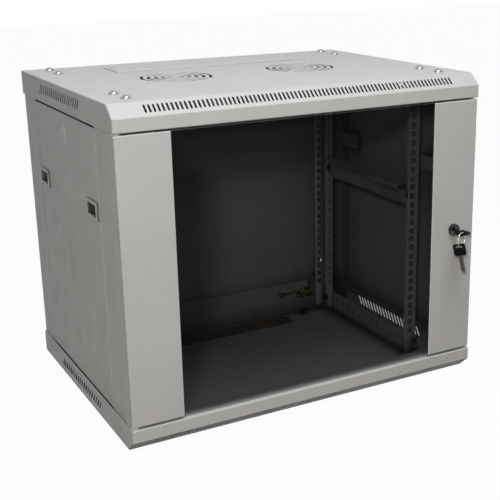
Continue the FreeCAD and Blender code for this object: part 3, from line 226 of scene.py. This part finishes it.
# Materials
def powder_coat(name, colour, reach, closed, level, width, spared_height=1.0):
    """Light grey powder coat: fine orange peel, faint tone clouds, painted highlights on bends, painted
    shade in crevices.

    Painted shade darkens crevices within reach, down to level where the openness is closed. A painted
    highlight brightens bends over width.
    """
    material, tree, output = new_material(name)
    shader = principled(tree, output, colour, paint_roughness)
    shader.inputs["Specular IOR Level"].default_value = paint_gloss
    clouds = noise(tree, scale=9.0, detail=4.0)
    dark = tuple(c * paint_cloud_share for c in colour)
    tone = spread(tree, clouds.outputs["Fac"], 0.0, 1.0)
    toned = blend_colours(tree, tone, dark, colour)
    # Painted highlight: edges and bends are mixed towards a brighter colour and made metallic, so they
    # mirror the white surround as bright lines
    edge = edge_share(tree, width)
    lit = blend_colours(tree, edge, toned, painted_highlight_colour)
    # Painted shade: a darker, warmer copy of the colour where ambient occlusion finds holes, gaps, corners
    # and faces looking down at the floor
    shade_colour = tuple(c * level * warm for c, warm in zip(colour, painted_shade_warmth))
    shaded = blend_colours(tree, openness(tree, reach, closed, spared_height), shade_colour, lit)
    tree.links.new(shaded, shader.inputs["Base Color"])
    tree.links.new(calculated(tree, "MULTIPLY", edge, edge_sheen), shader.inputs["Metallic"])
    smears = noise(tree, scale=34.0, detail=3.0, roughness=0.6)
    smeared = spread(tree, smears.outputs["Fac"], paint_roughness - paint_smoother,
                     paint_roughness + paint_rougher)
    tree.links.new(smeared, shader.inputs["Roughness"])
    peel = noise(tree, scale=1300.0, detail=1.0)
    bumped(tree, shader, peel.outputs["Fac"], distance=0.00006, strength=0.55, edge_radius=0.0005)
    return material


def plated(name, colour, roughness):
    """Bright plated steel with a faint cloudy tarnish and fine grain."""
    material, tree, output = new_material(name)
    shader = principled(tree, output, colour, roughness, metallic=1.0)
    clouds = noise(tree, scale=160.0, detail=3.0)
    dull = tuple(c * tarnish_share for c in colour)
    tone = spread(tree, clouds.outputs["Fac"], 0.0, 1.0)
    tree.links.new(blend_colours(tree, tone, dull, colour), shader.inputs["Base Color"])
    tree.links.new(spread(tree, clouds.outputs["Fac"], roughness + tarnish_rougher, roughness),
                   shader.inputs["Roughness"])
    fine = noise(tree, scale=3360.0)
    bumped(tree, shader, fine.outputs["Fac"], distance=0.00002, strength=0.4, edge_radius=0.0002)
    return material


def plastic(name, colour, roughness, grain=2200.0, edge=0.0003, gloss=0.5):
    """Moulded plastic with a fine spark-eroded grain."""
    material, tree, output = new_material(name)
    shader = principled(tree, output, colour, roughness)
    shader.inputs["Specular IOR Level"].default_value = gloss
    clouds = noise(tree, scale=60.0, detail=3.0)
    dull = tuple(c * plastic_cloud_share for c in colour)
    tone = spread(tree, clouds.outputs["Fac"], 0.0, 1.0)
    tree.links.new(blend_colours(tree, tone, dull, colour), shader.inputs["Base Color"])
    fine = noise(tree, scale=grain)
    grainy = spread(tree, fine.outputs["Fac"], roughness - plastic_smoother, roughness + plastic_rougher)
    tree.links.new(grainy, shader.inputs["Roughness"])
    bumped(tree, shader, fine.outputs["Fac"], distance=0.00004, strength=0.6, edge_radius=edge)
    return material


def smoked_glass(name):
    """Dark tinted safety glass: see-through faces, paler ground edges."""
    material, tree, output = new_material(name)
    shader = principled(tree, output, glass_colour, roughness=0.03)
    shader.inputs["IOR"].default_value = 1.5
    shader.inputs["Specular IOR Level"].default_value = glass_gloss
    shape = node(tree, "ShaderNodeNewGeometry")
    own = node(tree, "ShaderNodeVectorTransform", vector_type="NORMAL", convert_from="WORLD",
               convert_to="OBJECT")
    tree.links.new(shape.outputs["True Normal"], own.inputs[0])
    across = calculated(tree, "ABSOLUTE", coordinate(tree, own.outputs[0], "Y"))
    is_edge = calculated(tree, "LESS_THAN", across, glass_face_slope)
    ground = blend_colours(tree, is_edge, glass_colour, glass_edge_colour)
    tree.links.new(ground, shader.inputs["Base Color"])
    solid = remapped(tree, is_edge, 0.0, 1.0, glass_tint, glass_edge_tint)
    tree.links.new(solid, shader.inputs["Alpha"])
    smears = noise(tree, scale=14.0, detail=4.0, roughness=0.6)
    tree.links.new(spread(tree, smears.outputs["Fac"], low=0.02, high=0.06), shader.inputs["Roughness"])
    return material


def earth_sleeve(name):
    """Green sleeve with yellow stripes that wind slowly round the wire."""
    material, tree, output = new_material(name)
    shader = principled(tree, output, lead_plain, roughness=0.42)
    place = node(tree, "ShaderNodeTexCoord")
    lengthways = coordinate(tree, place.outputs["UV"], "X")
    round_wire = coordinate(tree, place.outputs["UV"], "Y")
    wound = calculated(tree, "ADD", calculated(tree, "MULTIPLY", lengthways, stripe_turns), round_wire)
    part = calculated(tree, "FRACT", calculated(tree, "MULTIPLY", wound, stripe_count))
    yellow = calculated(tree, "GREATER_THAN", part, green_share)
    tree.links.new(blend_colours(tree, yellow, lead_green, lead_yellow), shader.inputs["Base Color"])
    fine = noise(tree, scale=900.0)
    bumped(tree, shader, fine.outputs["Fac"], distance=0.00003, strength=0.5)
    return material


# Sizes of the detailed pieces
smooth_angle = math.radians(35)
screw_sides = 32
screw_turn_step = 37.0
head_steps = (0.985, 0.94, 0.86, 0.75, 0.6, 0.42)
tip_radius_share = 0.7
tip_length_share = 0.3
top_face_slope = 0.1
recess_half_share = 0.12
recess_reach_share = 0.56
recess_depth_share = 0.55
recess_taper = 0.86
recess_end_rise = 0.4

# The earth lead, as in the part's source: its stud, its route and its hank
earth_stud = point(178.0, 223.5, 17.0)
lead_diameter = 3.2 * MM
lead_start = point(194.0, 221.2, 17.0)
lead_steps = [point(35.0, -3.1, 2.5), point(54.3, -3.6, 8.0), point(62.0, -16.2, 12.0),
              point(56.2, -30.0, 13.0)]
hank_left = earth_stud + point(-6.0, -45.0, -2.0)
hank_right = earth_stud + point(42.0, -33.4, 9.6)
hank_first_angle = -90.0
strand_angles = (0.0, 240.0, 120.0, 300.0, 60.0, 180.0)
strand_radius = 3.9 * MM
strand_tied_radius = 3.7 * MM
strand_open_radius = 5.4 * MM
strand_near_end_radius = strand_open_radius - 0.4 * MM
strand_near_end = 0.9
strand_last_end = 0.99
fold_angle = math.radians(30)
hank_inner_fold = 0.24
hank_outer_fold = 0.165
hank_right_fold = 0.87
tie_share = 0.6
tie_inner = 5.45 * MM
tie_strap = 0.9 * MM
tie_half_width = 2.2 * MM
tie_head_angle = 60.0
tie_head_seat = 0.6
tie_head_size = (3.4 * MM, 4.8 * MM, 5.4 * MM)
tie_tail_start = 1.0 * MM
tie_tail_thickness = 1.1 * MM
tie_tail_from = 2.0 * MM
tie_tail_to = 5.2 * MM
terminal_offset = 2.0 * MM
terminal_half_length = 5.0 * MM
terminal_inner_share = 0.6
terminal_outer_share = 1.22
block_edge_share = 0.15

# Colours, glosses, and the reach of painted shade in crevices and of painted highlights on bends
paint_colour = (0.60, 0.60, 0.59)
# Rails and bars wear the same powder coat as the rest; the rails are painted lighter and the bars darker, as
# painted light and shade
rail_brightened_colour = (0.76, 0.76, 0.75)
rear_rail_brightened_colour = (0.84, 0.84, 0.83)
bar_darkened_colour = (0.53, 0.53, 0.52)
cup_colour = (0.60, 0.60, 0.585)
paint_gloss = 0.25
paint_roughness = 0.46
paint_cloud_share = 0.955
plastic_cloud_share = 0.9
tarnish_share = 0.78
paint_smoother = 0.05
paint_rougher = 0.06
plastic_smoother = 0.05
plastic_rougher = 0.08
tarnish_rougher = 0.1
noise_low = 0.3
noise_high = 0.7
# Painted highlights on bends (the normal match that marks a bend, widths, colour, metallic sheen) and
# painted shade in crevices (full openness, inner box, warmth)
flat_match = 0.98
bend_match = 0.80
fully_open = 0.95
edge_width = 0.0016
slot_edge_width = 0.0005
cup_edge_width = 0.0008
painted_highlight_colour = (0.80, 0.80, 0.79)
edge_sheen = 0.85
inside_centre = (0.0, 0.0115, 0.25)
inside_half = (("X", 0.2984), ("Y", 0.2112), ("Z", 0.2489))
near_floor = 0.045
upright_slope = -0.3
painted_shade_warmth = (1.08, 1.0, 0.92)
glass_colour = (0.004, 0.0045, 0.006)
glass_tint = 0.44
glass_edge_colour = (0.30, 0.33, 0.33)
glass_edge_tint = 0.93
glass_gloss = 0.02
glass_face_slope = 0.9
lead_plain = (0.05, 0.22, 0.04)
lead_green = (0.025, 0.13, 0.05)
lead_yellow = (0.60, 0.51, 0.05)
stripe_turns = 34.0
stripe_count = 2.0
green_share = 0.5

# Floor and room
floor_size = 16.0
floor_gap = 0.0002
# Half sizes of the patch under the cabinet that is painted dark as shade
floor_shade_half_x = 0.270
floor_shade_half_y = 0.195
floor_white_share = 0.965
floor_colour = (0.80, 0.80, 0.80)
room_level = 0.065
room_slope = 0.063
# The table's colour: seen by bounce light everywhere, and painted as shade on the patch under the cabinet
table_and_shade_colour = (0.19, 0.14, 0.095)

# Each coat's reach, closed and level set its painted shade in crevices; its width sets the painted highlight
# on bends
PAINT = powder_coat("paint", paint_colour, reach=0.070, closed=0.35, level=0.15, width=edge_width)
COVER_PAINT = powder_coat("cover_paint", paint_colour, reach=0.030, closed=0.60, level=0.05,
                          width=slot_edge_width, spared_height=near_floor)
RAIL_PAINT = powder_coat("rail_paint", rail_brightened_colour, reach=0.030, closed=0.70, level=0.03,
                         width=slot_edge_width)
REAR_RAIL_PAINT = powder_coat("rear_rail_paint", rear_rail_brightened_colour, reach=0.015, closed=0.50, level=0.03,
                              width=slot_edge_width)
BAR_PAINT = powder_coat("bar_paint", bar_darkened_colour, reach=0.020, closed=0.50, level=0.05,
                        width=slot_edge_width)
CUP_PLASTIC = powder_coat("cup_plastic", cup_colour, reach=0.020, closed=0.55, level=0.10,
                          width=cup_edge_width, spared_height=near_floor)
# Zinc and chrome are darker than real plating: painted shade standing in for the dark room they would
# reflect
ZINC = plated("zinc", (0.36, 0.365, 0.37), 0.22)
BLACK_SCREW = plated("black_screw", (0.011, 0.011, 0.012), 0.34)
CHROME = plated("chrome", (0.07, 0.068, 0.065), 0.14)
RING_STEEL = plated("ring_steel", (0.72, 0.71, 0.70), 0.14)
KEY_METAL = plated("key_metal", (0.085, 0.07, 0.058), 0.34)
KEY_PLASTIC = plastic("key_plastic", (0.004, 0.004, 0.0045), 0.36, gloss=0.07)
BLACK_PLASTIC = plastic("black_plastic", (0.008, 0.008, 0.008), 0.48, gloss=0.10)
WHITE_PLASTIC = plastic("white_plastic", (0.82, 0.82, 0.80), 0.40)
GREY_PLASTIC = plastic("grey_plastic", (0.57, 0.57, 0.555), 0.44)
TAPE = plastic("tape", (0.008, 0.008, 0.009), 0.85, grain=3000.0, edge=0.0, gloss=0.05)
GLASS = smoked_glass("smoked_glass")
EARTH = earth_sleeve("earth_sleeve")

finish_of_slot = {
    "cabinet_paint": PAINT,
    "zinc_steel": ZINC,
    "black_steel": BLACK_SCREW,
    "chrome": CHROME,
    "key_steel": KEY_METAL,
    "black_plastic": BLACK_PLASTIC,
    "white_plastic": WHITE_PLASTIC,
    "grey_plastic": GREY_PLASTIC,
    "tinted_glass": GLASS,
    "foam_tape": TAPE,
    "earth_wire": EARTH,
}
own_finish = {"key_head": KEY_PLASTIC, "spare_key_head": KEY_PLASTIC, "key_ring": RING_STEEL,
              "base_cover": COVER_PAINT, "roof_cover": COVER_PAINT}
for side in ("left", "right"):
    own_finish["front_rail_" + side] = RAIL_PAINT
    own_finish["rear_rail_" + side] = REAR_RAIL_PAINT
    own_finish["latch_cups_" + side] = CUP_PLASTIC
    own_finish["plug_" + side] = CUP_PLASTIC
    own_finish["bottom_bar_" + side] = BAR_PAINT
    own_finish["mid_bar_" + side] = BAR_PAINT


def dress_nodes():
    """Gives every carried-over node its finish."""
    for part in frame["record"]["subparts"]:
        name = part["node"]
        piece = frame["nodes"][name]
        piece.data.materials.clear()
        piece.data.materials.append(own_finish.get(name, finish_of_slot[part["material_slot"]]))


# Pieces made here
def add_piece(name, shape, slot, *nodes):
    """Turns a bmesh into an object of the cabinet's body that stands for the named CAD nodes."""
    for face in shape.faces:
        face.smooth = True
    for edge in shape.edges:
        edge.smooth = len(edge.link_faces) == 2 and edge.calc_face_angle() < smooth_angle
    data = bpy.data.meshes.new(name)
    shape.to_mesh(data)
    shape.free()
    data.materials.append(finish_of_slot[slot])
    piece = bpy.data.objects.new(name, data)
    scene.collection.objects.link(piece)
    return settle(piece, slot, *nodes)


def settle(piece, slot, *nodes):
    """Puts a piece on the cabinet's body in place of the named nodes. slot is not used."""
    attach(piece, "cabinet")
    if nodes:
        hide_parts(*nodes)
    return piece


def loose_boxes(name):
    """The low and high corners of each separate solid of a CAD node."""
    data = frame["nodes"][name].data
    leader = list(range(len(data.vertices)))

    def lead(index):
        while leader[index] != index:
            index = leader[index]
        return index

    at_place = {}
    for vertex in data.vertices:
        place = tuple(round(c, 6) for c in vertex.co)
        leader[vertex.index] = lead(at_place.setdefault(place, vertex.index))
    for edge in data.edges:
        first, second = (lead(index) for index in edge.vertices)
        leader[first] = second
    groups = {}
    for vertex in data.vertices:
        groups.setdefault(lead(vertex.index), []).append(vertex.co)
    return [(Vector(min(v[i] for v in group) for i in range(3)),
             Vector(max(v[i] for v in group) for i in range(3))) for group in groups.values()]


def screw_shape(head_radius, head_height, shank_radius, shank_length, fullness):
    """A screw along +Z with its head on the XY plane and a cross recess. Fullness 2 makes a dome."""
    shape = bmesh.new()
    profile = [(shank_radius * tip_radius_share, -shank_length),
               (shank_radius, -shank_length + shank_radius * tip_length_share),
               (shank_radius, 0.0), (head_radius, 0.0)]
    for share in head_steps:
        profile.append((head_radius * share, head_height * (1.0 - share ** fullness) ** (1.0 / fullness)))
    rings = []
    for radius, z in profile:
        ring = []
        for step in range(screw_sides):
            angle = 2.0 * math.pi * step / screw_sides
            ring.append(shape.verts.new((radius * math.cos(angle), radius * math.sin(angle), z)))
        rings.append(ring)
    for low, high in zip(rings, rings[1:]):
        for step in range(screw_sides):
            after = (step + 1) % screw_sides
            shape.faces.new((low[step], low[after], high[after], high[step]))
    shape.faces.new(list(reversed(rings[0])))
    shape.faces.new(rings[-1])
    # The cross recess: cut its outline into the top, then sink what lies within it
    half = head_radius * recess_half_share
    reach = head_radius * recess_reach_share
    for axis in (Vector((1, 0, 0)), Vector((0, 1, 0))):
        for offset in (-reach, -half, half, reach):
            top = [f for f in shape.faces
                   if f.calc_center_median().z > 0.0 and f.normal.z > top_face_slope]
            parts = set(top)
            for face in top:
                parts.update(face.edges)
                parts.update(face.verts)
            bmesh.ops.bisect_plane(shape, geom=list(parts), plane_co=axis * offset, plane_no=axis)
            shape.normal_update()
    sunk = []
    for face in shape.faces:
        middle = face.calc_center_median()
        across, along = sorted((abs(middle.x), abs(middle.y)))
        if middle.z > 0.0 and face.normal.z > top_face_slope and across < half and along < reach:
            sunk.append(face)
    made = bmesh.ops.extrude_face_region(shape, geom=sunk)
    for item in made["geom"]:
        if isinstance(item, bmesh.types.BMVert):
            distance = math.hypot(item.co.x, item.co.y)
            item.co.z -= head_height * recess_depth_share * (1.0 - recess_end_rise * distance / reach)
            item.co.x *= recess_taper
            item.co.y *= recess_taper
    bmesh.ops.recalc_face_normals(shape, faces=shape.faces)
    return shape


def make_screws(name, slot, shank_radius, head_height, fullness, head_direction):
    """Screws with recesses in place of a node's plain ones. head_direction says where a head points."""
    every = bmesh.new()
    for number, (low, high) in enumerate(loose_boxes(name)):
        axis = head_direction((low + high) / 2.0)
        size = high - low
        length = abs(size.dot(axis))
        middle = (low + high) / 2.0
        side = [abs(c) for c in size]
        side.remove(min(side, key=lambda c: abs(c - length)))
        head_radius = max(side) / 2.0
        one = screw_shape(head_radius, head_height, shank_radius, length - head_height, fullness)
        turn = Matrix.Rotation(math.radians(number * screw_turn_step), 4, "Z")
        aim = axis.to_track_quat("Z", "Y").to_matrix().to_4x4()
        foot = middle + axis * (length / 2.0 - head_height)
        one.transform(Matrix.Translation(foot) @ aim @ turn)
        scratch = bpy.data.meshes.new("scratch")
        one.to_mesh(scratch)
        one.free()
        every.from_mesh(scratch)
        bpy.data.meshes.remove(scratch)
    return add_piece(name + "_detailed", every, slot, name)


def make_all_screws():
    """Every visible screw of the cabinet."""
    up = Vector((0, 0, 1))
    forward = Vector((0, -1, 0))

    def inward(place):
        return Vector((-1 if place.x > 0 else 1, 0, 0))

    make_screws("cover_screws", "zinc_steel", 3.0 * MM, 5.0 * MM, 2.0, lambda place: up)
    make_screws("cable_plate_screws", "zinc_steel", 1.5 * MM, 2.2 * MM, 2.0, lambda place: up)
    make_screws("rail_screws", "black_steel", 3.0 * MM, 4.0 * MM, 3.0, inward)
    make_screws("rear_panel_screws", "zinc_steel", 2.0 * MM, 2.2 * MM, 2.2, lambda place: forward)


# The earth lead and its hank
def strand_place(axis_share, angle, radius):
    """A point of the hank: a share of its length from the left end, an angle round its axis and a radius."""
    along = hank_right - hank_left
    unit = along.normalized()
    side = unit.cross(Vector((0, 0, 1))).normalized()
    up = side.cross(unit)
    turned = math.radians(angle + hank_first_angle)
    return hank_left + along * axis_share + (side * math.cos(turned) + up * math.sin(turned)) * radius


def fold(level, first_angle, second_angle, way):
    """The points of one fold, from one strand to another, as a half circle."""
    first = strand_place(level, first_angle, strand_radius)
    second = strand_place(level, second_angle, strand_radius)
    outward = (hank_right - hank_left).normalized() * way
    radius = (second - first).length / 2.0
    short = radius * math.tan(fold_angle)
    middle = (first + second) / 2.0
    return [first - outward * short, first + outward * short,
            middle + outward * radius / math.cos(fold_angle),
            second + outward * short, second - outward * short]


def hank_route():
    """The hank's turns: six strands, with two levels of folds at the left and one at the right."""
    points = [strand_place(1.0, strand_angles[0], strand_open_radius)]
    points.append(strand_place(strand_near_end, strand_angles[0], strand_near_end_radius))
    for number in range(len(strand_angles) - 1):
        angle = strand_angles[number]
        after = strand_angles[number + 1]
        points.append(strand_place(tie_share, angle, strand_tied_radius))
        if number % 2 == 0:
            level = hank_inner_fold if number == 2 else hank_outer_fold
            points.extend(fold(level, angle, after, -1))
        else:
            points.extend(fold(hank_right_fold, angle, after, 1))
    last = strand_angles[-1]
    points.append(strand_place(tie_share, last, strand_tied_radius))
    points.append(strand_place(strand_near_end, last, strand_near_end_radius))
    points.append(strand_place(strand_last_end, last, strand_open_radius))
    return points


def make_lead():
    """The earth lead with its hank, its tie and the terminal on its free end."""
    data = bpy.data.curves.new("earth_cord", "CURVE")
    data.dimensions = "3D"
    data.bevel_depth = lead_diameter / 2.0
    data.bevel_resolution = 4
    data.resolution_u = 5
    points = [lead_start] + [earth_stud + step for step in lead_steps] + hank_route()
    spline = data.splines.new("NURBS")
    spline.points.add(len(points) - 1)
    for spot, place in zip(spline.points, points):
        spot.co = (*place, 1.0)
    spline.order_u = 3
    spline.use_endpoint_u = True
    data.use_fill_caps = True
    data.materials.append(EARTH)
    cord = bpy.data.objects.new("earth_cord", data)
    scene.collection.objects.link(cord)
    settle(cord, "earth_wire", "earth_lead", "earth_hank")
    tie = make_tie()
    terminal = make_terminal(points[-1], (points[-1] - points[-2]).normalized())


def swept_band(shape, frame_matrix, inner, outer, half_width, steps=48):
    """A closed band round the local Z axis."""
    rings = []
    for radius, z in ((inner, -half_width), (outer, -half_width), (outer, half_width), (inner, half_width)):
        ring = []
        for step in range(steps):
            angle = 2.0 * math.pi * step / steps
            ring.append(shape.verts.new(frame_matrix @ Vector((radius * math.cos(angle),
                                                               radius * math.sin(angle), z))))
        rings.append(ring)
    for number in range(4):
        first = rings[number]
        second = rings[(number + 1) % 4]
        for step in range(steps):
            after = (step + 1) % steps
            shape.faces.new((first[step], first[after], second[after], second[step]))


def block(shape, frame_matrix, low, high):
    """A box between two corners in a local frame, with slightly softened edges."""
    made = bmesh.ops.create_cube(shape, size=1.0)
    size = high - low
    middle = (high + low) / 2.0
    for vertex in made["verts"]:
        vertex.co = Vector((vertex.co.x * size.x, vertex.co.y * size.y, vertex.co.z * size.z)) + middle
    edges = {edge for vertex in made["verts"] for edge in vertex.link_edges}
    softened = bmesh.ops.bevel(shape, geom=list(edges), offset=min(size) * block_edge_share, segments=2,
                               profile=0.5, affect="EDGES")
    verts = {vertex for face in softened["faces"] for vertex in face.verts}
    for vertex in verts:
        vertex.co = frame_matrix @ vertex.co


def make_tie():
    """The cable tie round the hank: strap, head and cut tail."""
    along = (hank_right - hank_left).normalized()
    centre = hank_left.lerp(hank_right, tie_share)
    place = Matrix.Translation(centre) @ along.to_track_quat("Z", "Y").to_matrix().to_4x4()
    turn = place @ Matrix.Rotation(math.radians(tie_head_angle), 4, "Z")
    shape = bmesh.new()
    swept_band(shape, place, tie_inner, tie_inner + tie_strap, tie_half_width)
    head_low = tie_inner + tie_strap * tie_head_seat
    thick, wide, tall = tie_head_size
    block(shape, turn, Vector((head_low, -wide / 2.0, -tall / 2.0)),
          Vector((head_low + thick, wide / 2.0, tall / 2.0)))
    tail_low = head_low + tie_tail_start
    block(shape, turn, Vector((tail_low, tie_tail_from, -tie_half_width)),
          Vector((tail_low + tie_tail_thickness, tie_tail_to, tie_half_width)))
    bmesh.ops.recalc_face_normals(shape, faces=shape.faces)
    return add_piece("hank_tie_detailed", shape, "black_plastic", "hank_tie")


def make_terminal(end, direction):
    """The black sleeve on the lead's free end."""
    place = Matrix.Translation(end) @ direction.to_track_quat("Z", "Y").to_matrix().to_4x4()
    shape = bmesh.new()
    radius = lead_diameter / 2.0
    swept_band(shape, place @ Matrix.Translation((0, 0, terminal_offset)), radius * terminal_inner_share,
               radius * terminal_outer_share, terminal_half_length, steps=24)
    return add_piece("spare_terminal_sleeve", shape, "black_plastic")


def seen_rays(tree):
    """1 for the rays that show the background: seen straight, mirrored or through glass."""
    rays = node(tree, "ShaderNodeLightPath")
    found = rays.outputs["Is Camera Ray"]
    for kind in ("Is Glossy Ray", "Is Transmission Ray"):
        found = calculated(tree, "MAXIMUM", found, rays.outputs[kind])
    return found


def blend_shaders(tree, output, factor, first, second):
    """Joins a mix of two shaders to the output."""
    mix = node(tree, "ShaderNodeMixShader")
    for source, socket in zip((factor, first.outputs[0], second.outputs[0]), mix.inputs):
        tree.links.new(source, socket)
    tree.links.new(mix.outputs[0], output.inputs["Surface"])


def make_floor():
    """A pale floor, white all round the cabinet, with the cabinet's own shadow under it and painted shade,
    in the table's dark colour, on the patch under the cabinet.
    """
    bpy.ops.mesh.primitive_plane_add(size=floor_size)
    floor = bpy.context.object
    floor.name = "floor"
    floor.location = (0, 0, -floor_gap)
    material, tree, output = new_material("floor")
    matt = node(tree, "ShaderNodeBsdfDiffuse")
    white = node(tree, "ShaderNodeEmission")
    place = node(tree, "ShaderNodeNewGeometry")
    # Painted shade: within the patch under the cabinet the floor shows the table's dark colour to every ray;
    # outside it, it is white to seen rays
    outside = past_limits(tree, place.outputs["Position"], (("X", floor_shade_half_x), ("Y", floor_shade_half_y)))
    shown = calculated(tree, "MULTIPLY", seen_rays(tree), outside)
    tree.links.new(blend_colours(tree, shown, table_and_shade_colour, floor_colour), matt.inputs["Color"])
    blend_shaders(tree, output, calculated(tree, "MULTIPLY", shown, floor_white_share), matt, white)
    floor.data.materials.append(material)


def make_room():
    """A white background, and a dim room that is darker on the left for all other rays."""
    world = bpy.data.worlds.new("world")
    scene.world = world
    world.use_nodes = True
    tree = world.node_tree
    tree.nodes.clear()
    output = node(tree, "ShaderNodeOutputWorld")
    room = node(tree, "ShaderNodeBackground")
    room.inputs["Color"].default_value = (1, 1, 1, 1)
    direction = node(tree, "ShaderNodeTexCoord")
    sideways = coordinate(tree, direction.outputs["Generated"], "X")
    level = calculated(tree, "MULTIPLY_ADD", sideways, room_slope, room_level)
    tree.links.new(level, room.inputs["Strength"])
    backdrop = node(tree, "ShaderNodeBackground")
    backdrop.inputs["Color"].default_value = (1, 1, 1, 1)
    blend_shaders(tree, output, seen_rays(tree), room, backdrop)


def lamp(name, place, target, width, height, power):
    """A soft rectangular lamp that shines from its place at a target."""
    data = bpy.data.lights.new(name, "AREA")
    data.shape = "RECTANGLE"
    data.size = width
    data.size_y = height
    data.energy = power
    made = bpy.data.objects.new(name, data)
    scene.collection.objects.link(made)
    made.location = place
    made.rotation_mode = "QUATERNION"
    made.rotation_quaternion = (Vector(target) - Vector(place)).to_track_quat("-Z", "Y")


def make_stage():
    """Pale floor, white background and plain soft lamps."""
    make_floor()
    make_room()
    lamp("top_lamp", place=(0.0, -0.95, 2.2), target=(0, 0, 0.3), width=1.0, height=0.8, power=29.0)
    lamp("front_lamp", place=(-1.08, -1.76, 1.07), target=(0, 0, 0.25), width=0.2, height=0.2, power=17.0)
    scene.view_settings.view_transform = "Standard"


make_camera()
make_lead()
make_stage()
dress_nodes()
make_all_screws()
